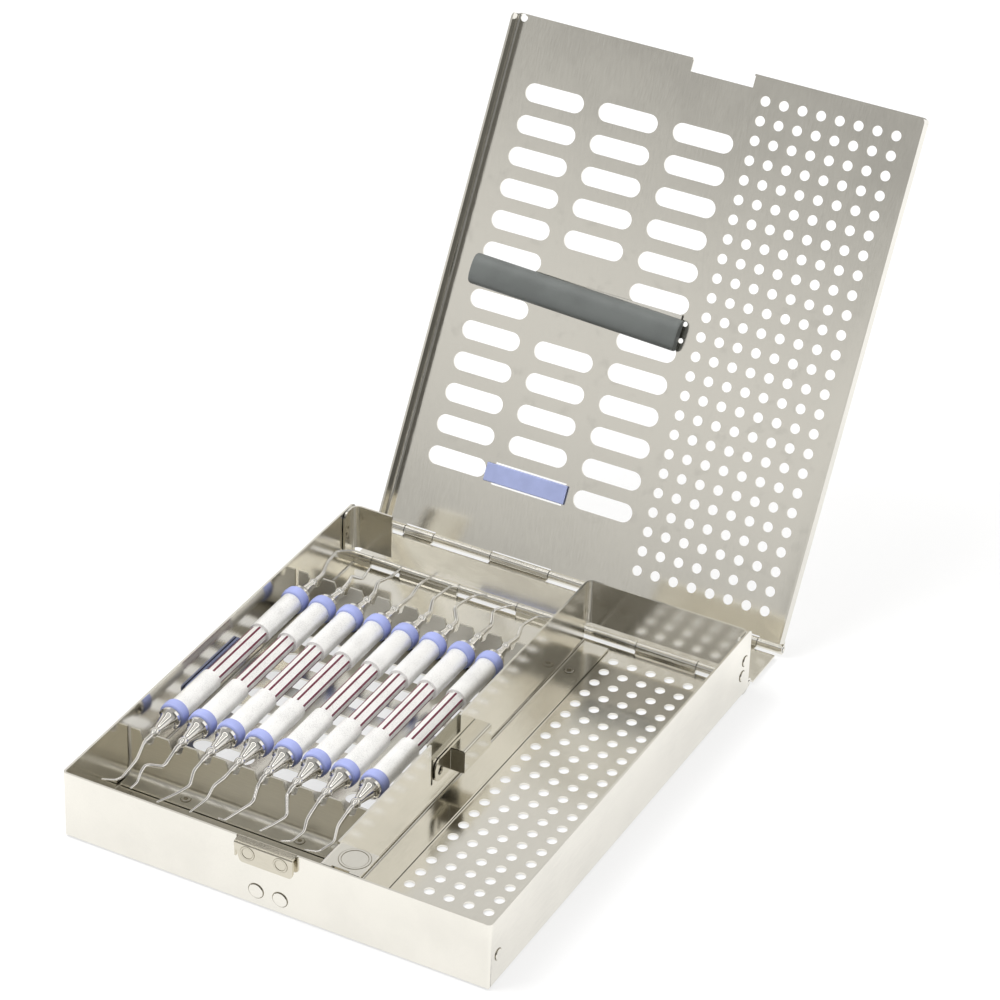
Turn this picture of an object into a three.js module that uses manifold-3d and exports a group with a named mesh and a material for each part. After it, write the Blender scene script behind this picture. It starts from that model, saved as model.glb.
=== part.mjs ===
// A dental instrument cassette: an open perforated steel tray with eight double-ended hand instruments
// lying in two notched racks, an accessory side behind a divider, a spring latch on the front wall, and
// a shallow perforated lid that leans back on a double piano hinge with a spine flap between its pins.
// Millimetres, +Z up. The origin is the centre of the tray's underside, +Y points to the hinge.

import * as THREE from "three";
import { mergeVertices } from "three/addons/utils/BufferGeometryUtils.js";
import Module from "manifold-3d";

const wasm = await Module();
wasm.setup();

// Sheet metal and clearances
const sheet = 0.8;
const thinSheet = 0.6;
const gap = 0.3;
const bend = 1.6;
const cutMargin = 2;

// Tray
const trayWidth = 170.2;
const trayDepth = 203.2;
const trayHeight = 27.9;
const wallTipRadius = 3;
const latchNotchDepth = 2.9;

// Round holes, cut as hexagons: the grid in the floor and the grid in the lid
const holeDiameter = 4;
const floorHoles = { x: 33.9, y: -88.36, pitch: 7.82, columns: 6, rows: 24 };
const lidHoles = { x: 21.8, y: 12.02, pitch: 7.733, columns: 8, rows: 25 };

// Slots with round ends: under the instruments and in the lid
const floorSlots = { length: 25, width: 7, columns: [-62.3, -30.4, 1.65], y: -31.5, pitch: 12.72, rows: 7 };
const lidSlots = { length: 25.4, width: 7.4, columns: [-62.8, -30.9, 1.15], y: 31.77, pitch: 12.72, rows: 12 };
const lidSlotBreak = 6.36;
const lidRowsBelowBreak = 6;
const middleColumnGaps = [0, 5, 6];

// Piano hinges
const hingeSetback = 0.9;
const hingeHeight = 2.9;
const knuckleRadius = 1.9;
const pinRadius = 0.75;
const knuckleEdgeShares = [0.15, 0.45, 0.75, 0.9];
const knuckleClearance = 0.5;
const hingeEndInset = 0.1;
const floorRearInset = 2;

// Spine flap and lid
const spineEndInset = 1.3;
const lidSideClearance = 1.2;
const lidFrontClearance = 1.85;
const lidSeatClearance = 0.6;
const lidLipDepth = 5.6;
const lidFrontLipDepth = 1.1;
const lidNotch = { from: -10.9, to: 15.4, depth: 5.3 };
const lidLean = 60.29;
const reliefRadius = 1.7;
const reliefInset = 3.5;

// Corner bracket, divider and the wing that both of them fold behind the tray
const wingBottom = 9.2;
const wingInset = 1.3;
const wingLegLength = 8;
const wingLegRadius = 3;
const bracketWidth = 16.7;
const dividerX = 18.1;
const dividerFoot = 10.5;
const dividerFootEnd = 97;
const dividerBend = 2.5;
const dividerCornerReach = 6;
const dividerNotch = { from: -21.3, to: -1, depth: 7.2 };
const dividerSlit = { width: 1.2, bottom: 10 };
const frontTab = { length: 15.5, depth: 13.3, fold: 5.5, foldInset: 2.5, slot: 7 };

// Clip on the divider
const clip = { earFrom: -21, boxFrom: -9.7, boxTo: 10.5, width: 6.2, bottom: 9.7, height: 9.5, earRadius: 4 };
const clipHole = { y: -17.1, z: 14, diameter: 3.6 };

// Racks
const rackHeight = 21.5;
const rackFoot = 8;
const rackLeftClearance = 0.8;
const rackRightClearance = 1.6;
const frontRackY = -59.5;
const rearRackY = 57.7;
const notchHalfWidth = 2.6;
const notchTopHalfWidth = 3.4;

// Instruments
const instrumentPitch = 11.85;
const instrumentsX = -34.9;
const instrumentAxisZ = 19.3;
const handleRadius = 4.2;
const hexagonRadius = 3.45;
const hexagonFrom = -12.5;
const hexagonTo = 21.5;
const hexagonOverlap = 0.5;
const ringRadius = 5.2;
const ringWidth = 4.3;
const frontRingY = -41.5;
const rearRingY = 43.2;
const rimWidth = 1.8;
const coneLength = 5.5;
const coneRadius = 2.9;
const collarRadius = 2;
const collarOverlap = 1.2;
const shankRadius = 1.3;
const tipRadius = 0.4;

// The bent wire at each end: its length, how far its plane is rolled about the handle, and its straight
// runs, as shares of the length and angles from the handle's axis. The angles are in degrees.
const frontWires = {
  lengths: [32.5, 31.1, 31.8, 29.9, 30, 27.1, 29.4, 32.3],
  rollAngles: [0, 150, 165, 0, 150, 150, 165, 0],
  runShares: [
    [0.074, 0.342, 0.351, 0.092, 0.142], [0.354, 0.186, 0.058, 0.109, 0.177, 0.116],
    [0.264, 0.248, 0.223, 0.264], [0.221, 0.197, 0.264, 0.318],
    [0.143, 0.273, 0.323, 0.19, 0.07], [0.155, 0.328, 0.28, 0.236],
    [0.412, 0.228, 0.231, 0.129], [0.325, 0.294, 0.238, 0.142],
  ],
  runAngles: [
    [-1, 18, 6, -23, -67], [-9, 46, 24, -9, -20, 3], [-4, -22, 12, 19], [2, -7, 14, -7],
    [-11, -21, 10, 10, 61], [-10, -35, 11, 16], [-8, -22, 7, 46], [7, 22, -15, -74],
  ],
};
const rearWires = {
  lengths: [28.2, 22.5, 24.6, 29, 26.4, 28, 26.3, 29],
  rollAngles: [165, 0, 150, 0, 150, 165, 0, 165],
  runShares: [
    [0.188, 0.245, 0.316, 0.252], [0.249, 0.191, 0.204, 0.356],
    [0.179, 0.228, 0.321, 0.272], [0.3, 0.324, 0.376],
    [0.125, 0.284, 0.451, 0.14], [0.125, 0.275, 0.425, 0.175],
    [0.297, 0.38, 0.221, 0.103], [0.21, 0.252, 0.307, 0.231],
  ],
  runAngles: [
    [-1, 18, 5, -40], [-5, -15, 86, -10], [5, 20, -15, -2], [6, -9, 11],
    [-7, 23, -6, -43], [2, 36, -11, -44], [4, -25, 32, 45], [-7, 17, -12, -54],
  ],
};

// Latch
const latchFrom = -13.6;
const latchTo = 9.6;
const latchReach = 3.6;
const latchDrop = 0.8;
const latchFoldLength = 1.6;
const latchPlateHeight = 7.6;
const latchPlateTaper = 2.4;
const latchLeafBottom = 3;
const latchCheekDepth = 0.75;

// Hold-down bar, its carrier and the label strips
const bar = { x: -31.15, s: 104.7, length: 90.3, width: 12.4, tiltAngle: -2.15 };
const barCentreShare = 0.45;
const carrier = { s: 105.35, width: 11.3, leftInset: 2.1, rightInset: 1.5 };
const carrierHoles = { x: 14.25, from: 101.4, to: 108, diameter: 2 };
const stripThickness = 0.8;
const lidStrip = { x: -32.15, s: 31.5, length: 35.1, width: 7.4 };
const stripSlit = { x: -31.1, length: 31, opening: 0.75 };
const wallStrip = { from: -23.5, to: 14.3, bottom: 9, top: 17, radius: 1 };

// Facets of the round forms
const bendSteps = 3;
const holeSides = 6;
const slotEndSteps = 3;
const knuckleSides = 8;
const handleSides = 8;
const hexagonSides = 6;
const wireSides = 4;
const seatSteps = 4;
const barSteps = 6;

// Values that follow from the ones above
const halfTrayWidth = trayWidth / 2;
const halfTrayDepth = trayDepth / 2;
const halfSheet = sheet / 2;
const lidWidth = trayWidth + 2 * (lidSideClearance + sheet);
const lidLength = trayDepth + hingeSetback + lidFrontClearance + sheet;
const spineWidth = lidWidth - 2 * spineEndInset;
const hingeSpacing = trayHeight + lidSeatClearance + halfSheet - hingeHeight;
const instrumentCount = frontWires.lengths.length;
const innerWallX = halfTrayWidth - sheet;
const innerWallY = halfTrayDepth - sheet;
const floorTop = sheet;
const standingZ = floorTop + gap;
const lowerHingeY = halfTrayDepth + hingeSetback;
const upperHingeY = lowerHingeY + hingeSpacing;
const boreRadius = pinRadius + gap;
const tongueReach = (boreRadius + knuckleRadius) / 2;
const plateStart = knuckleRadius + knuckleClearance;
const lowerHingeEnd = halfTrayWidth - hingeEndInset;
const upperHingeEnd = lidWidth / 2;
const wingY = halfTrayDepth - wingInset - halfSheet;
const wingX = innerWallX - gap - halfSheet;
const closedHeadroom = hingeHeight + hingeSpacing - halfSheet - instrumentAxisZ - hexagonRadius;
const barStandoff = halfSheet + gap;
const barBase = barStandoff + sheet + gap;
const barTop = halfSheet + closedHeadroom - gap;

// Solids: welding three.js geometry into closed bodies, and back

function toSolid(geometry) {
  const bare = geometry.clone();
  bare.deleteAttribute("normal");
  bare.deleteAttribute("uv");
  const welded = mergeVertices(bare);
  const vertProperties = Float32Array.from(welded.attributes.position.array);
  const triVerts = Uint32Array.from(welded.index.array);
  return new wasm.Manifold(new wasm.Mesh({ numProp: 3, vertProperties, triVerts }));
}

function toGeometry(solid) {
  const { vertProperties, triVerts } = solid.getMesh();
  const geometry = new THREE.BufferGeometry();
  geometry.setAttribute("position", new THREE.Float32BufferAttribute(vertProperties, 3));
  geometry.setIndex(Array.from(triVerts));
  geometry.computeVertexNormals();
  return geometry;
}

function join(...solids) {
  return solids.reduce((whole, next) => whole.add(next));
}

// Prisms: an outline drawn across an axis and extruded along it. Across x it is drawn in (y, z),
// across y in (x, z) and across z in (x, y).

const unitX = new THREE.Vector3(1, 0, 0);
const unitY = new THREE.Vector3(0, 1, 0);
const unitZ = new THREE.Vector3(0, 0, 1);
const unitBack = new THREE.Vector3(0, -1, 0);
const frames = {
  x: new THREE.Matrix4().makeBasis(unitY, unitZ, unitX),
  y: new THREE.Matrix4().makeBasis(unitX, unitZ, unitBack),
  z: new THREE.Matrix4().makeBasis(unitX, unitY, unitZ),
};
const starts = {
  x: (from) => [from, 0, 0],
  y: (from, to) => [0, to, 0],
  z: (from) => [0, 0, from],
};

function shapeOf(points, holes = []) {
  const shape = new THREE.Shape(points.map(([u, v]) => new THREE.Vector2(u, v)));
  for (const hole of holes) {
    shape.holes.push(new THREE.Path(hole.map(([u, v]) => new THREE.Vector2(u, v))));
  }
  return shape;
}

function prism(axis, shape, from, to) {
  const geometry = new THREE.ExtrudeGeometry(shape, { depth: to - from, bevelEnabled: false });
  geometry.applyMatrix4(frames[axis]);
  geometry.translate(...starts[axis](from, to));
  return toSolid(geometry);
}

// Outlines

function rectangle(u0, u1, v0, v1) {
  return [[u0, v0], [u1, v0], [u1, v1], [u0, v1]];
}

function block(x0, x1, y0, y1, z0, z1) {
  return prism("z", shapeOf(rectangle(x0, x1, y0, y1)), z0, z1);
}

function polygon(u, v, radius, sides, turn = 0) {
  const points = [];
  for (let i = 0; i < sides; i += 1) {
    const angle = turn + (2 * Math.PI * i) / sides;
    points.push([u + radius * Math.cos(angle), v + radius * Math.sin(angle)]);
  }
  return points;
}

// Replaces each corner of a run of points by an arc of its own radius.
function roundCorners(points, radii, closed) {
  const count = points.length;
  return points.flatMap((point, i) => {
    if (!radii[i] || (!closed && (i === 0 || i === count - 1))) {
      return [point];
    }
    const corner = new THREE.Vector2(...point);
    const before = new THREE.Vector2(...points[(i + count - 1) % count]).sub(corner).normalize();
    const after = new THREE.Vector2(...points[(i + 1) % count]).sub(corner).normalize();
    const halfAngle = Math.acos(THREE.MathUtils.clamp(before.dot(after), -1, 1)) / 2;
    const middle = before.clone().add(after).normalize();
    const centre = corner.clone().addScaledVector(middle, radii[i] / Math.sin(halfAngle));
    const start = before.clone().multiplyScalar(radii[i] / Math.tan(halfAngle)).add(corner).sub(centre);
    const sweep = (Math.PI - 2 * halfAngle) * Math.sign(after.cross(before));
    const arc = [];
    for (let step = 0; step <= bendSteps; step += 1) {
      const turned = start.clone().rotateAround(new THREE.Vector2(), (sweep * step) / bendSteps);
      arc.push([centre.x + turned.x, centre.y + turned.y]);
    }
    return arc;
  });
}

function roundedRectangle(u0, u1, v0, v1, radii) {
  return roundCorners(rectangle(u0, u1, v0, v1), radii, true);
}

// The section of a sheet that follows a line of corners, with both faces bent round one centre.
function sheetSection(line, radius, thickness) {
  const half = thickness / 2;
  const corners = line.map(([u, v]) => new THREE.Vector2(u, v));
  const last = corners.length - 1;
  const sides = [half, -half].map((offset) => {
    const points = [];
    const radii = [];
    corners.forEach((corner, i) => {
      const into = corners[Math.max(i, 1)].clone().sub(corners[Math.max(i, 1) - 1]).normalize();
      const out = corners[Math.min(i, last - 1) + 1].clone().sub(corners[Math.min(i, last - 1)]).normalize();
      const normal = new THREE.Vector2(-into.y - out.y, into.x + out.x).normalize();
      const stretch = Math.sqrt((1 + into.dot(out)) / 2);
      points.push([corner.x + (normal.x * offset) / stretch, corner.y + (normal.y * offset) / stretch]);
      radii.push(radius - offset * Math.sign(into.cross(out)));
    });
    return roundCorners(points, radii, false);
  });
  return shapeOf([...sides[1], ...sides[0].reverse()]);
}

// Patterns of holes, as one solid of disjoint prisms to be cut from a sheet lying in z

function holeGrid({ x, y, pitch, columns, rows }) {
  const outlines = [];
  for (let column = 0; column < columns; column += 1) {
    for (let row = 0; row < rows; row += 1) {
      outlines.push(polygon(x + pitch * column, y + pitch * row, holeDiameter / 2, holeSides));
    }
  }
  return outlines;
}

function slotOutline(x, y, length, width) {
  const radius = width / 2;
  const reach = length / 2 - radius;
  const points = [];
  for (const side of [1, -1]) {
    for (let step = 0; step <= slotEndSteps; step += 1) {
      const angle = (Math.PI * step) / slotEndSteps - (side * Math.PI) / 2;
      points.push([x + side * reach + radius * Math.cos(angle), y + radius * Math.sin(angle)]);
    }
  }
  return points;
}

function perforation(outlines, from, to) {
  return prism("z", outlines.map((outline) => shapeOf(outline)), from, to);
}

// Hinge parts

function knuckleRanges(parity, end) {
  const inner = knuckleEdgeShares.map((share) => share * halfTrayWidth);
  const edges = [-end, ...inner.map((edge) => -edge).reverse(), ...inner, end];
  const ranges = [];
  for (let i = parity; i < edges.length - 1; i += 2) {
    ranges.push([edges[i] + gap / 2, edges[i + 1] - gap / 2]);
  }
  return ranges;
}

function barrel([from, to], y, z) {
  const ring = polygon(y, z, knuckleRadius, knuckleSides, Math.PI / knuckleSides);
  const bore = polygon(y, z, boreRadius, knuckleSides, Math.PI / knuckleSides);
  return prism("x", shapeOf(ring, [bore]), from, to);
}

function hingePin(y, z, end) {
  const outline = polygon(y, z, pinRadius, knuckleSides, Math.PI / knuckleSides);
  return prism("x", shapeOf(outline), -end, end);
}

// The tray: a pan with round bends, its rear edge rolled into knuckles on short webs

function panBody(inset, floorZ, topZ, rearY, tipRadius) {
  const side = halfTrayWidth - inset;
  const front = -halfTrayDepth + inset;
  const radius = bend - inset;
  const plan = roundedRectangle(-side, side, front, rearY, [radius, radius, 0, 0]);
  const across = roundedRectangle(-side, side, floorZ, topZ, [radius, radius, 0, 0]);
  const along = roundedRectangle(front, rearY, floorZ, topZ, [radius, 0, tipRadius, 0]);
  return prism("z", shapeOf(plan), floorZ, topZ)
    .intersect(prism("y", shapeOf(across), front, rearY))
    .intersect(prism("x", shapeOf(along), -side, side));
}

function floorPerforation() {
  const { length, width, columns, y, pitch, rows } = floorSlots;
  const outlines = holeGrid(floorHoles);
  for (const x of columns) {
    for (let row = 0; row < rows; row += 1) {
      outlines.push(slotOutline(x, y + pitch * row, length, width));
    }
  }
  return perforation(outlines, -sheet, floorTop + sheet);
}

function trayPan() {
  const outer = panBody(0, 0, trayHeight, halfTrayDepth, wallTipRadius);
  const inner = panBody(sheet, sheet, trayHeight + cutMargin, halfTrayDepth + cutMargin, 0);
  const floorRear = halfTrayDepth - floorRearInset;
  const relief = polygon(lowerHingeY, hingeHeight, plateStart, knuckleSides, Math.PI / knuckleSides);
  const webFoot = floorRear - cutMargin;
  const web = [
    [webFoot, 0], [floorRear, 0], [lowerHingeY - halfSheet, hingeHeight - knuckleRadius],
    [lowerHingeY - tongueReach, hingeHeight], [floorRear, sheet], [webFoot, sheet],
  ];
  let pan = outer
    .subtract(inner)
    .subtract(block(-innerWallX, innerWallX, floorRear, halfTrayDepth + cutMargin, -sheet, hingeHeight))
    .subtract(prism("x", shapeOf(relief), -trayWidth, trayWidth))
    .subtract(floorPerforation())
    .subtract(block(latchFrom - gap, latchTo + gap, -trayDepth, -innerWallY + halfSheet,
      trayHeight - latchNotchDepth, trayHeight + cutMargin));
  for (const range of knuckleRanges(1, lowerHingeEnd)) {
    const bore = polygon(lowerHingeY, hingeHeight, boreRadius, knuckleSides, Math.PI / knuckleSides);
    const leaf = prism("x", shapeOf(web), ...range).subtract(prism("x", shapeOf(bore), ...range));
    pan = join(pan, leaf, barrel(range, lowerHingeY, hingeHeight));
  }
  return pan;
}

// The wing closes a rear corner: a plate across the back, folded forward along the side wall

function rearWing(innerX, side) {
  const line = [[innerX, wingY], [side * wingX, wingY], [side * wingX, wingY - wingLegLength]];
  const top = trayHeight;
  const leg = [wingY - wingLegLength, wingY + halfSheet];
  const rounding = roundedRectangle(...leg, wingBottom, top, [wingLegRadius, 0, 0, wingLegRadius]);
  return prism("z", sheetSection(line, bend, sheet), wingBottom, top)
    .intersect(prism("x", shapeOf(rounding), -halfTrayWidth, halfTrayWidth));
}

function leftCornerBracket() {
  return rearWing(-wingX + bracketWidth, -1);
}

// The divider: wall with its foot and the front tab folded from it, and the wing behind the accessory side

function divider() {
  const front = -innerWallY + gap;
  const left = dividerX - halfSheet;
  const right = dividerX + halfSheet;
  const tabMiddle = trayHeight - halfSheet;
  const footLine = [[right + dividerFoot, standingZ + halfSheet], [dividerX, standingZ + halfSheet],
    [dividerX, wingBottom + bend]];
  const tabLine = [[dividerX, tabMiddle - frontTab.fold], [dividerX, tabMiddle],
    [right + frontTab.length, tabMiddle]];
  const foldLine = [[front + frontTab.depth, tabMiddle], [front + halfSheet, tabMiddle],
    [front + halfSheet, tabMiddle - frontTab.fold]];
  const cornerLine = [[dividerX, 0], [dividerX, wingY], [dividerX + dividerCornerReach, wingY]];
  const foldFrom = right + frontTab.foldInset;
  const foldTo = right + frontTab.length - frontTab.foldInset;
  const slotMiddle = (foldFrom + foldTo) / 2;
  const halfSlot = frontTab.slot / 2;
  const notchFloor = trayHeight - dividerNotch.depth;
  return join(
    block(left, right, front, dividerFootEnd, wingBottom, trayHeight - frontTab.fold),
    block(left, right, front + frontTab.depth, dividerFootEnd, wingBottom, trayHeight),
    prism("y", sheetSection(footLine, bend, sheet), front, dividerFootEnd),
    prism("y", sheetSection(tabLine, bend, sheet), front, front + frontTab.depth),
    prism("x", sheetSection(foldLine, bend, sheet), foldFrom, foldTo),
    prism("z", sheetSection(cornerLine, dividerBend, sheet), wingBottom, trayHeight),
    rearWing(dividerX + dividerBend + sheet, 1),
  )
    .subtract(block(left - sheet, right + sheet, dividerNotch.from, dividerNotch.to,
      notchFloor, trayHeight + cutMargin))
    .subtract(block(left - sheet, right + sheet, dividerNotch.from - dividerSlit.width,
      dividerNotch.from, dividerSlit.bottom, trayHeight + cutMargin))
    .subtract(block(slotMiddle - halfSlot, slotMiddle + halfSlot, front - sheet, front + sheet,
      tabMiddle - bend - sheet, trayHeight + cutMargin));
}

function dividerClip() {
  const top = clip.bottom + clip.height;
  const wallFace = dividerX + halfSheet + gap;
  const middle = wallFace + thinSheet / 2;
  const outer = wallFace + clip.width;
  const line = [[middle, clip.boxFrom - sheet], [middle, clip.boxFrom + thinSheet / 2],
    [outer - thinSheet / 2, clip.boxFrom + thinSheet / 2], [outer - thinSheet / 2, clip.boxTo]];
  const ear = roundedRectangle(clip.earFrom, clip.boxFrom + thinSheet / 2, clip.bottom, top,
    [clip.earRadius, 0, 0, clip.earRadius]);
  const hole = polygon(clipHole.y, clipHole.z, clipHole.diameter / 2, knuckleSides);
  const lip = [[wallFace, top - thinSheet / 2], [outer - thinSheet / 2, top - thinSheet / 2],
    [outer - thinSheet / 2, clip.bottom]];
  return join(
    prism("x", shapeOf(ear, [hole]), wallFace, wallFace + thinSheet),
    prism("z", sheetSection(line, thinSheet, thinSheet), clip.bottom, top - thinSheet),
    prism("y", sheetSection(lip, thinSheet, thinSheet), clip.boxFrom + thinSheet / 2, clip.boxTo),
  );
}

// The racks: an upright strip on a foot, with a notch under each instrument

function instrumentX(index) {
  return instrumentsX + instrumentPitch * (index - (instrumentCount - 1) / 2);
}

function rack(y, footSide) {
  const left = -innerWallX + rackLeftClearance;
  const right = dividerX - halfSheet - rackRightClearance;
  const line = [[y + footSide * rackFoot, standingZ + halfSheet], [y, standingZ + halfSheet], [y, rackHeight]];
  const seatZ = instrumentAxisZ - collarRadius - gap + notchHalfWidth;
  const outlines = frontWires.lengths.map((length, index) => {
    const x = instrumentX(index);
    const points = [[x + notchTopHalfWidth, rackHeight], [x + notchTopHalfWidth, rackHeight + cutMargin],
      [x - notchTopHalfWidth, rackHeight + cutMargin], [x - notchTopHalfWidth, rackHeight]];
    for (let step = 0; step <= seatSteps; step += 1) {
      const angle = Math.PI + (Math.PI * step) / seatSteps;
      points.push([x + notchHalfWidth * Math.cos(angle), seatZ + notchHalfWidth * Math.sin(angle)]);
    }
    return shapeOf(points);
  });
  return prism("x", sheetSection(line, bend, sheet), left, right)
    .subtract(prism("y", outlines, y - cutMargin, y + cutMargin));
}

// The latch: a leaf inside the front wall, folded over it through the notch to a tapered finger plate

function latchLeaf() {
  const leafY = -innerWallY + gap + thinSheet / 2;
  const topZ = trayHeight - thinSheet / 2;
  const plateY = leafY - latchReach;
  const plateTop = topZ - latchDrop;
  const plateBottom = plateTop - latchPlateHeight;
  const line = [[leafY, latchLeafBottom], [leafY, topZ], [plateY, plateTop], [plateY, plateTop - latchFoldLength]];
  const plate = roundCorners(
    [[latchFrom, plateTop - latchDrop], [latchFrom + latchPlateTaper, plateBottom], [latchTo, plateBottom],
      [latchTo, plateTop - latchDrop]],
    [0, bend, bend, 0],
    true,
  );
  const cheek = shapeOf(rectangle(plateY, plateY + latchCheekDepth, plateBottom + bend, plateTop - thinSheet));
  return join(
    prism("x", sheetSection(line, thinSheet, thinSheet), latchFrom, latchTo),
    prism("y", shapeOf(plate), plateY - thinSheet / 2, plateY + thinSheet / 2),
    prism("x", cheek, latchTo - thinSheet, latchTo),
    prism("x", cheek, latchFrom, latchFrom + thinSheet),
  );
}

// The spine flap: a plate between the two pins, with tongues rolled into knuckles on both edges

function spineFlap() {
  const z0 = hingeHeight - halfSheet;
  const z1 = hingeHeight + halfSheet;
  let flap = block(-spineWidth / 2, spineWidth / 2, lowerHingeY + plateStart, upperHingeY - plateStart, z0, z1);
  for (const range of knuckleRanges(0, lowerHingeEnd)) {
    const tongue = block(...range, lowerHingeY + tongueReach, lowerHingeY + plateStart, z0, z1);
    flap = join(flap, tongue, barrel(range, lowerHingeY, hingeHeight));
  }
  for (const range of knuckleRanges(0, upperHingeEnd)) {
    const tongue = block(...range, upperHingeY - plateStart, upperHingeY - tongueReach, z0, z1);
    flap = join(flap, tongue, barrel(range, upperHingeY, hingeHeight));
  }
  return flap;
}

// The lid, drawn flat: its pin at the origin, y along the plate, z toward the inner side

function lidSlotOutlines() {
  const { length, width, columns, y, pitch, rows } = lidSlots;
  const outlines = [];
  columns.forEach((x, column) => {
    for (let row = 0; row < rows; row += 1) {
      const broken = column === 1 && middleColumnGaps.includes(row);
      const step = row < lidRowsBelowBreak ? 0 : lidSlotBreak;
      if (!broken) {
        outlines.push(slotOutline(x, y + pitch * row + step, length, width));
      }
    }
  });
  return outlines;
}

function lidPan() {
  const half = lidWidth / 2;
  const top = lidLipDepth + halfSheet;
  const radii = [bend, bend, 0, 0];
  const outer = prism("y", shapeOf(roundedRectangle(-half, half, -halfSheet, top, radii)), plateStart, lidLength)
    .intersect(prism("x", shapeOf(roundedRectangle(0, lidLength, -halfSheet, top, [0, bend, 0, 0])), -half, half))
    .intersect(prism("z", shapeOf(roundedRectangle(-half, half, 0, lidLength, [0, 0, bend, bend])),
      -halfSheet, top));
  const inside = half - sheet;
  const inner = prism("y", shapeOf(roundedRectangle(-inside, inside, halfSheet, top + cutMargin,
    [bend - sheet, bend - sheet, 0, 0])), 0, lidLength - sheet);
  const lowLip = block(-inside, inside, lidLength - sheet * 2, lidLength + cutMargin,
    halfSheet + lidFrontLipDepth, top + cutMargin);
  return outer.subtract(inner).subtract(lowLip);
}

function stripSlits() {
  const { x, length, opening } = stripSlit;
  const inner = lidStrip.width / 2 - stripThickness - gap;
  const outer = lidStrip.width / 2 + opening;
  return [
    rectangle(x - length / 2, x + length / 2, lidStrip.s - outer, lidStrip.s - inner),
    rectangle(x - length / 2, x + length / 2, lidStrip.s + inner, lidStrip.s + outer),
  ];
}

function carrierHoleOutlines() {
  const { x, from, to, diameter } = carrierHoles;
  return [from, to].map((s) => polygon(x, s, diameter / 2, holeSides));
}

function lid() {
  const relief = polygon(-lidWidth / 2 + reliefInset, lidLength - reliefRadius / 2, reliefRadius, knuckleSides);
  const outlines = [...holeGrid(lidHoles), ...lidSlotOutlines(), ...stripSlits(), ...carrierHoleOutlines(), relief];
  let pan = lidPan()
    .subtract(perforation(outlines, -sheet, lidFrontLipDepth + sheet))
    .subtract(block(lidNotch.from, lidNotch.to, lidLength - lidNotch.depth, lidLength + cutMargin, -sheet,
      lidLipDepth));
  for (const range of knuckleRanges(1, upperHingeEnd)) {
    const tongue = block(...range, tongueReach, plateStart + sheet, -halfSheet, halfSheet);
    pan = join(pan, tongue, barrel(range, 0, 0));
  }
  return pan;
}

// The bar about its own middle: x along it, y across it, z from the plate's middle
function holdDownBar() {
  const half = bar.width / 2;
  const height = barTop - barBase;
  const shoulder = barBase + height * barCentreShare;
  const crown = new THREE.EllipseCurve(0, shoulder, half, barTop - shoulder, 0, Math.PI);
  const arc = crown.getPoints(barSteps).map((point) => [point.x, point.y]);
  return prism("x", shapeOf([[-half, barBase], [half, barBase], ...arc]), -bar.length / 2, bar.length / 2);
}

function barCarrier() {
  const half = carrier.width / 2;
  const left = bar.x - bar.length / 2 + carrier.leftInset;
  const right = bar.x + bar.length / 2 - carrier.rightInset;
  return block(left, right, carrier.s - half, carrier.s + half, barStandoff, barStandoff + sheet);
}

// The strip lies on the plate, and its two long edges are folded down through the slits.
function lidIdStrip() {
  const { x, s, length, width } = lidStrip;
  const half = width / 2;
  const face = halfSheet + gap;
  const legFrom = stripSlit.x - stripSlit.length / 2 + gap;
  const legTo = stripSlit.x + stripSlit.length / 2 - gap;
  return join(
    block(x - length / 2, x + length / 2, s - half, s + half, face, face + stripThickness),
    block(legFrom, legTo, s - half, s - half + stripThickness, -halfSheet, face + stripThickness),
    block(legFrom, legTo, s + half - stripThickness, s + half, -halfSheet, face + stripThickness),
  );
}

function wallIdStrip() {
  const { from, to, bottom, top, radius } = wallStrip;
  const outline = roundedRectangle(from, to, bottom, top, [radius, radius, radius, radius]);
  const face = -innerWallX + gap;
  return prism("x", shapeOf(outline), face, face + stripThickness);
}

// The instruments, drawn about their own axis: y along the handle, z up

function revolveAboutY(profile) {
  const points = profile.map(([radius, y]) => new THREE.Vector2(radius, y));
  return toSolid(new THREE.LatheGeometry(points, handleSides));
}

function handleEnd(side, ringY, rackY, hexagonEnd) {
  const rim = ringY + side * (ringWidth / 2 + rimWidth);
  const collar = rackY + side * collarOverlap;
  const profile = [
    [0, hexagonEnd],
    [handleRadius, hexagonEnd],
    [handleRadius, rim],
    [coneRadius, rim + side * coneLength],
    [collarRadius, rackY - side * collarOverlap],
    [collarRadius, collar],
    [0, collar],
  ];
  return revolveAboutY(side < 0 ? profile.reverse() : profile);
}

// A tapered wire bent in one plane: a ring of points at each bend, joined and closed at both ends.
function bentWire({ lengths, rollAngles, runShares, runAngles }, number, startY, side) {
  const plane = THREE.MathUtils.degToRad(rollAngles[number]);
  const runs = runShares[number].map((share) => share * lengths[number]);
  const outward = new THREE.Vector3(Math.cos(plane), 0, Math.sin(plane));
  const along = new THREE.Vector3(0, side, 0);
  const normal = new THREE.Vector3().crossVectors(along, outward);
  const headings = runAngles[number].map((angle) => THREE.MathUtils.degToRad(angle));
  const centre = new THREE.Vector3(0, startY, 0);
  const rings = [];
  let travelled = 0;
  for (let i = 0; i <= runs.length; i += 1) {
    const heading = (headings[Math.max(i - 1, 0)] + headings[Math.min(i, runs.length - 1)]) / 2;
    const sideways = outward.clone().multiplyScalar(Math.cos(heading)).addScaledVector(along, -Math.sin(heading));
    const radius = THREE.MathUtils.lerp(shankRadius, tipRadius, travelled / lengths[number]);
    rings.push(polygon(0, 0, radius, wireSides).map(([u, v]) => (
      centre.clone().addScaledVector(sideways, u).addScaledVector(normal, v))));
    if (i < runs.length) {
      centre.addScaledVector(along, runs[i] * Math.cos(headings[i]));
      centre.addScaledVector(outward, runs[i] * Math.sin(headings[i]));
      travelled += runs[i];
    }
  }
  return toSolid(skin(rings));
}

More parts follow.
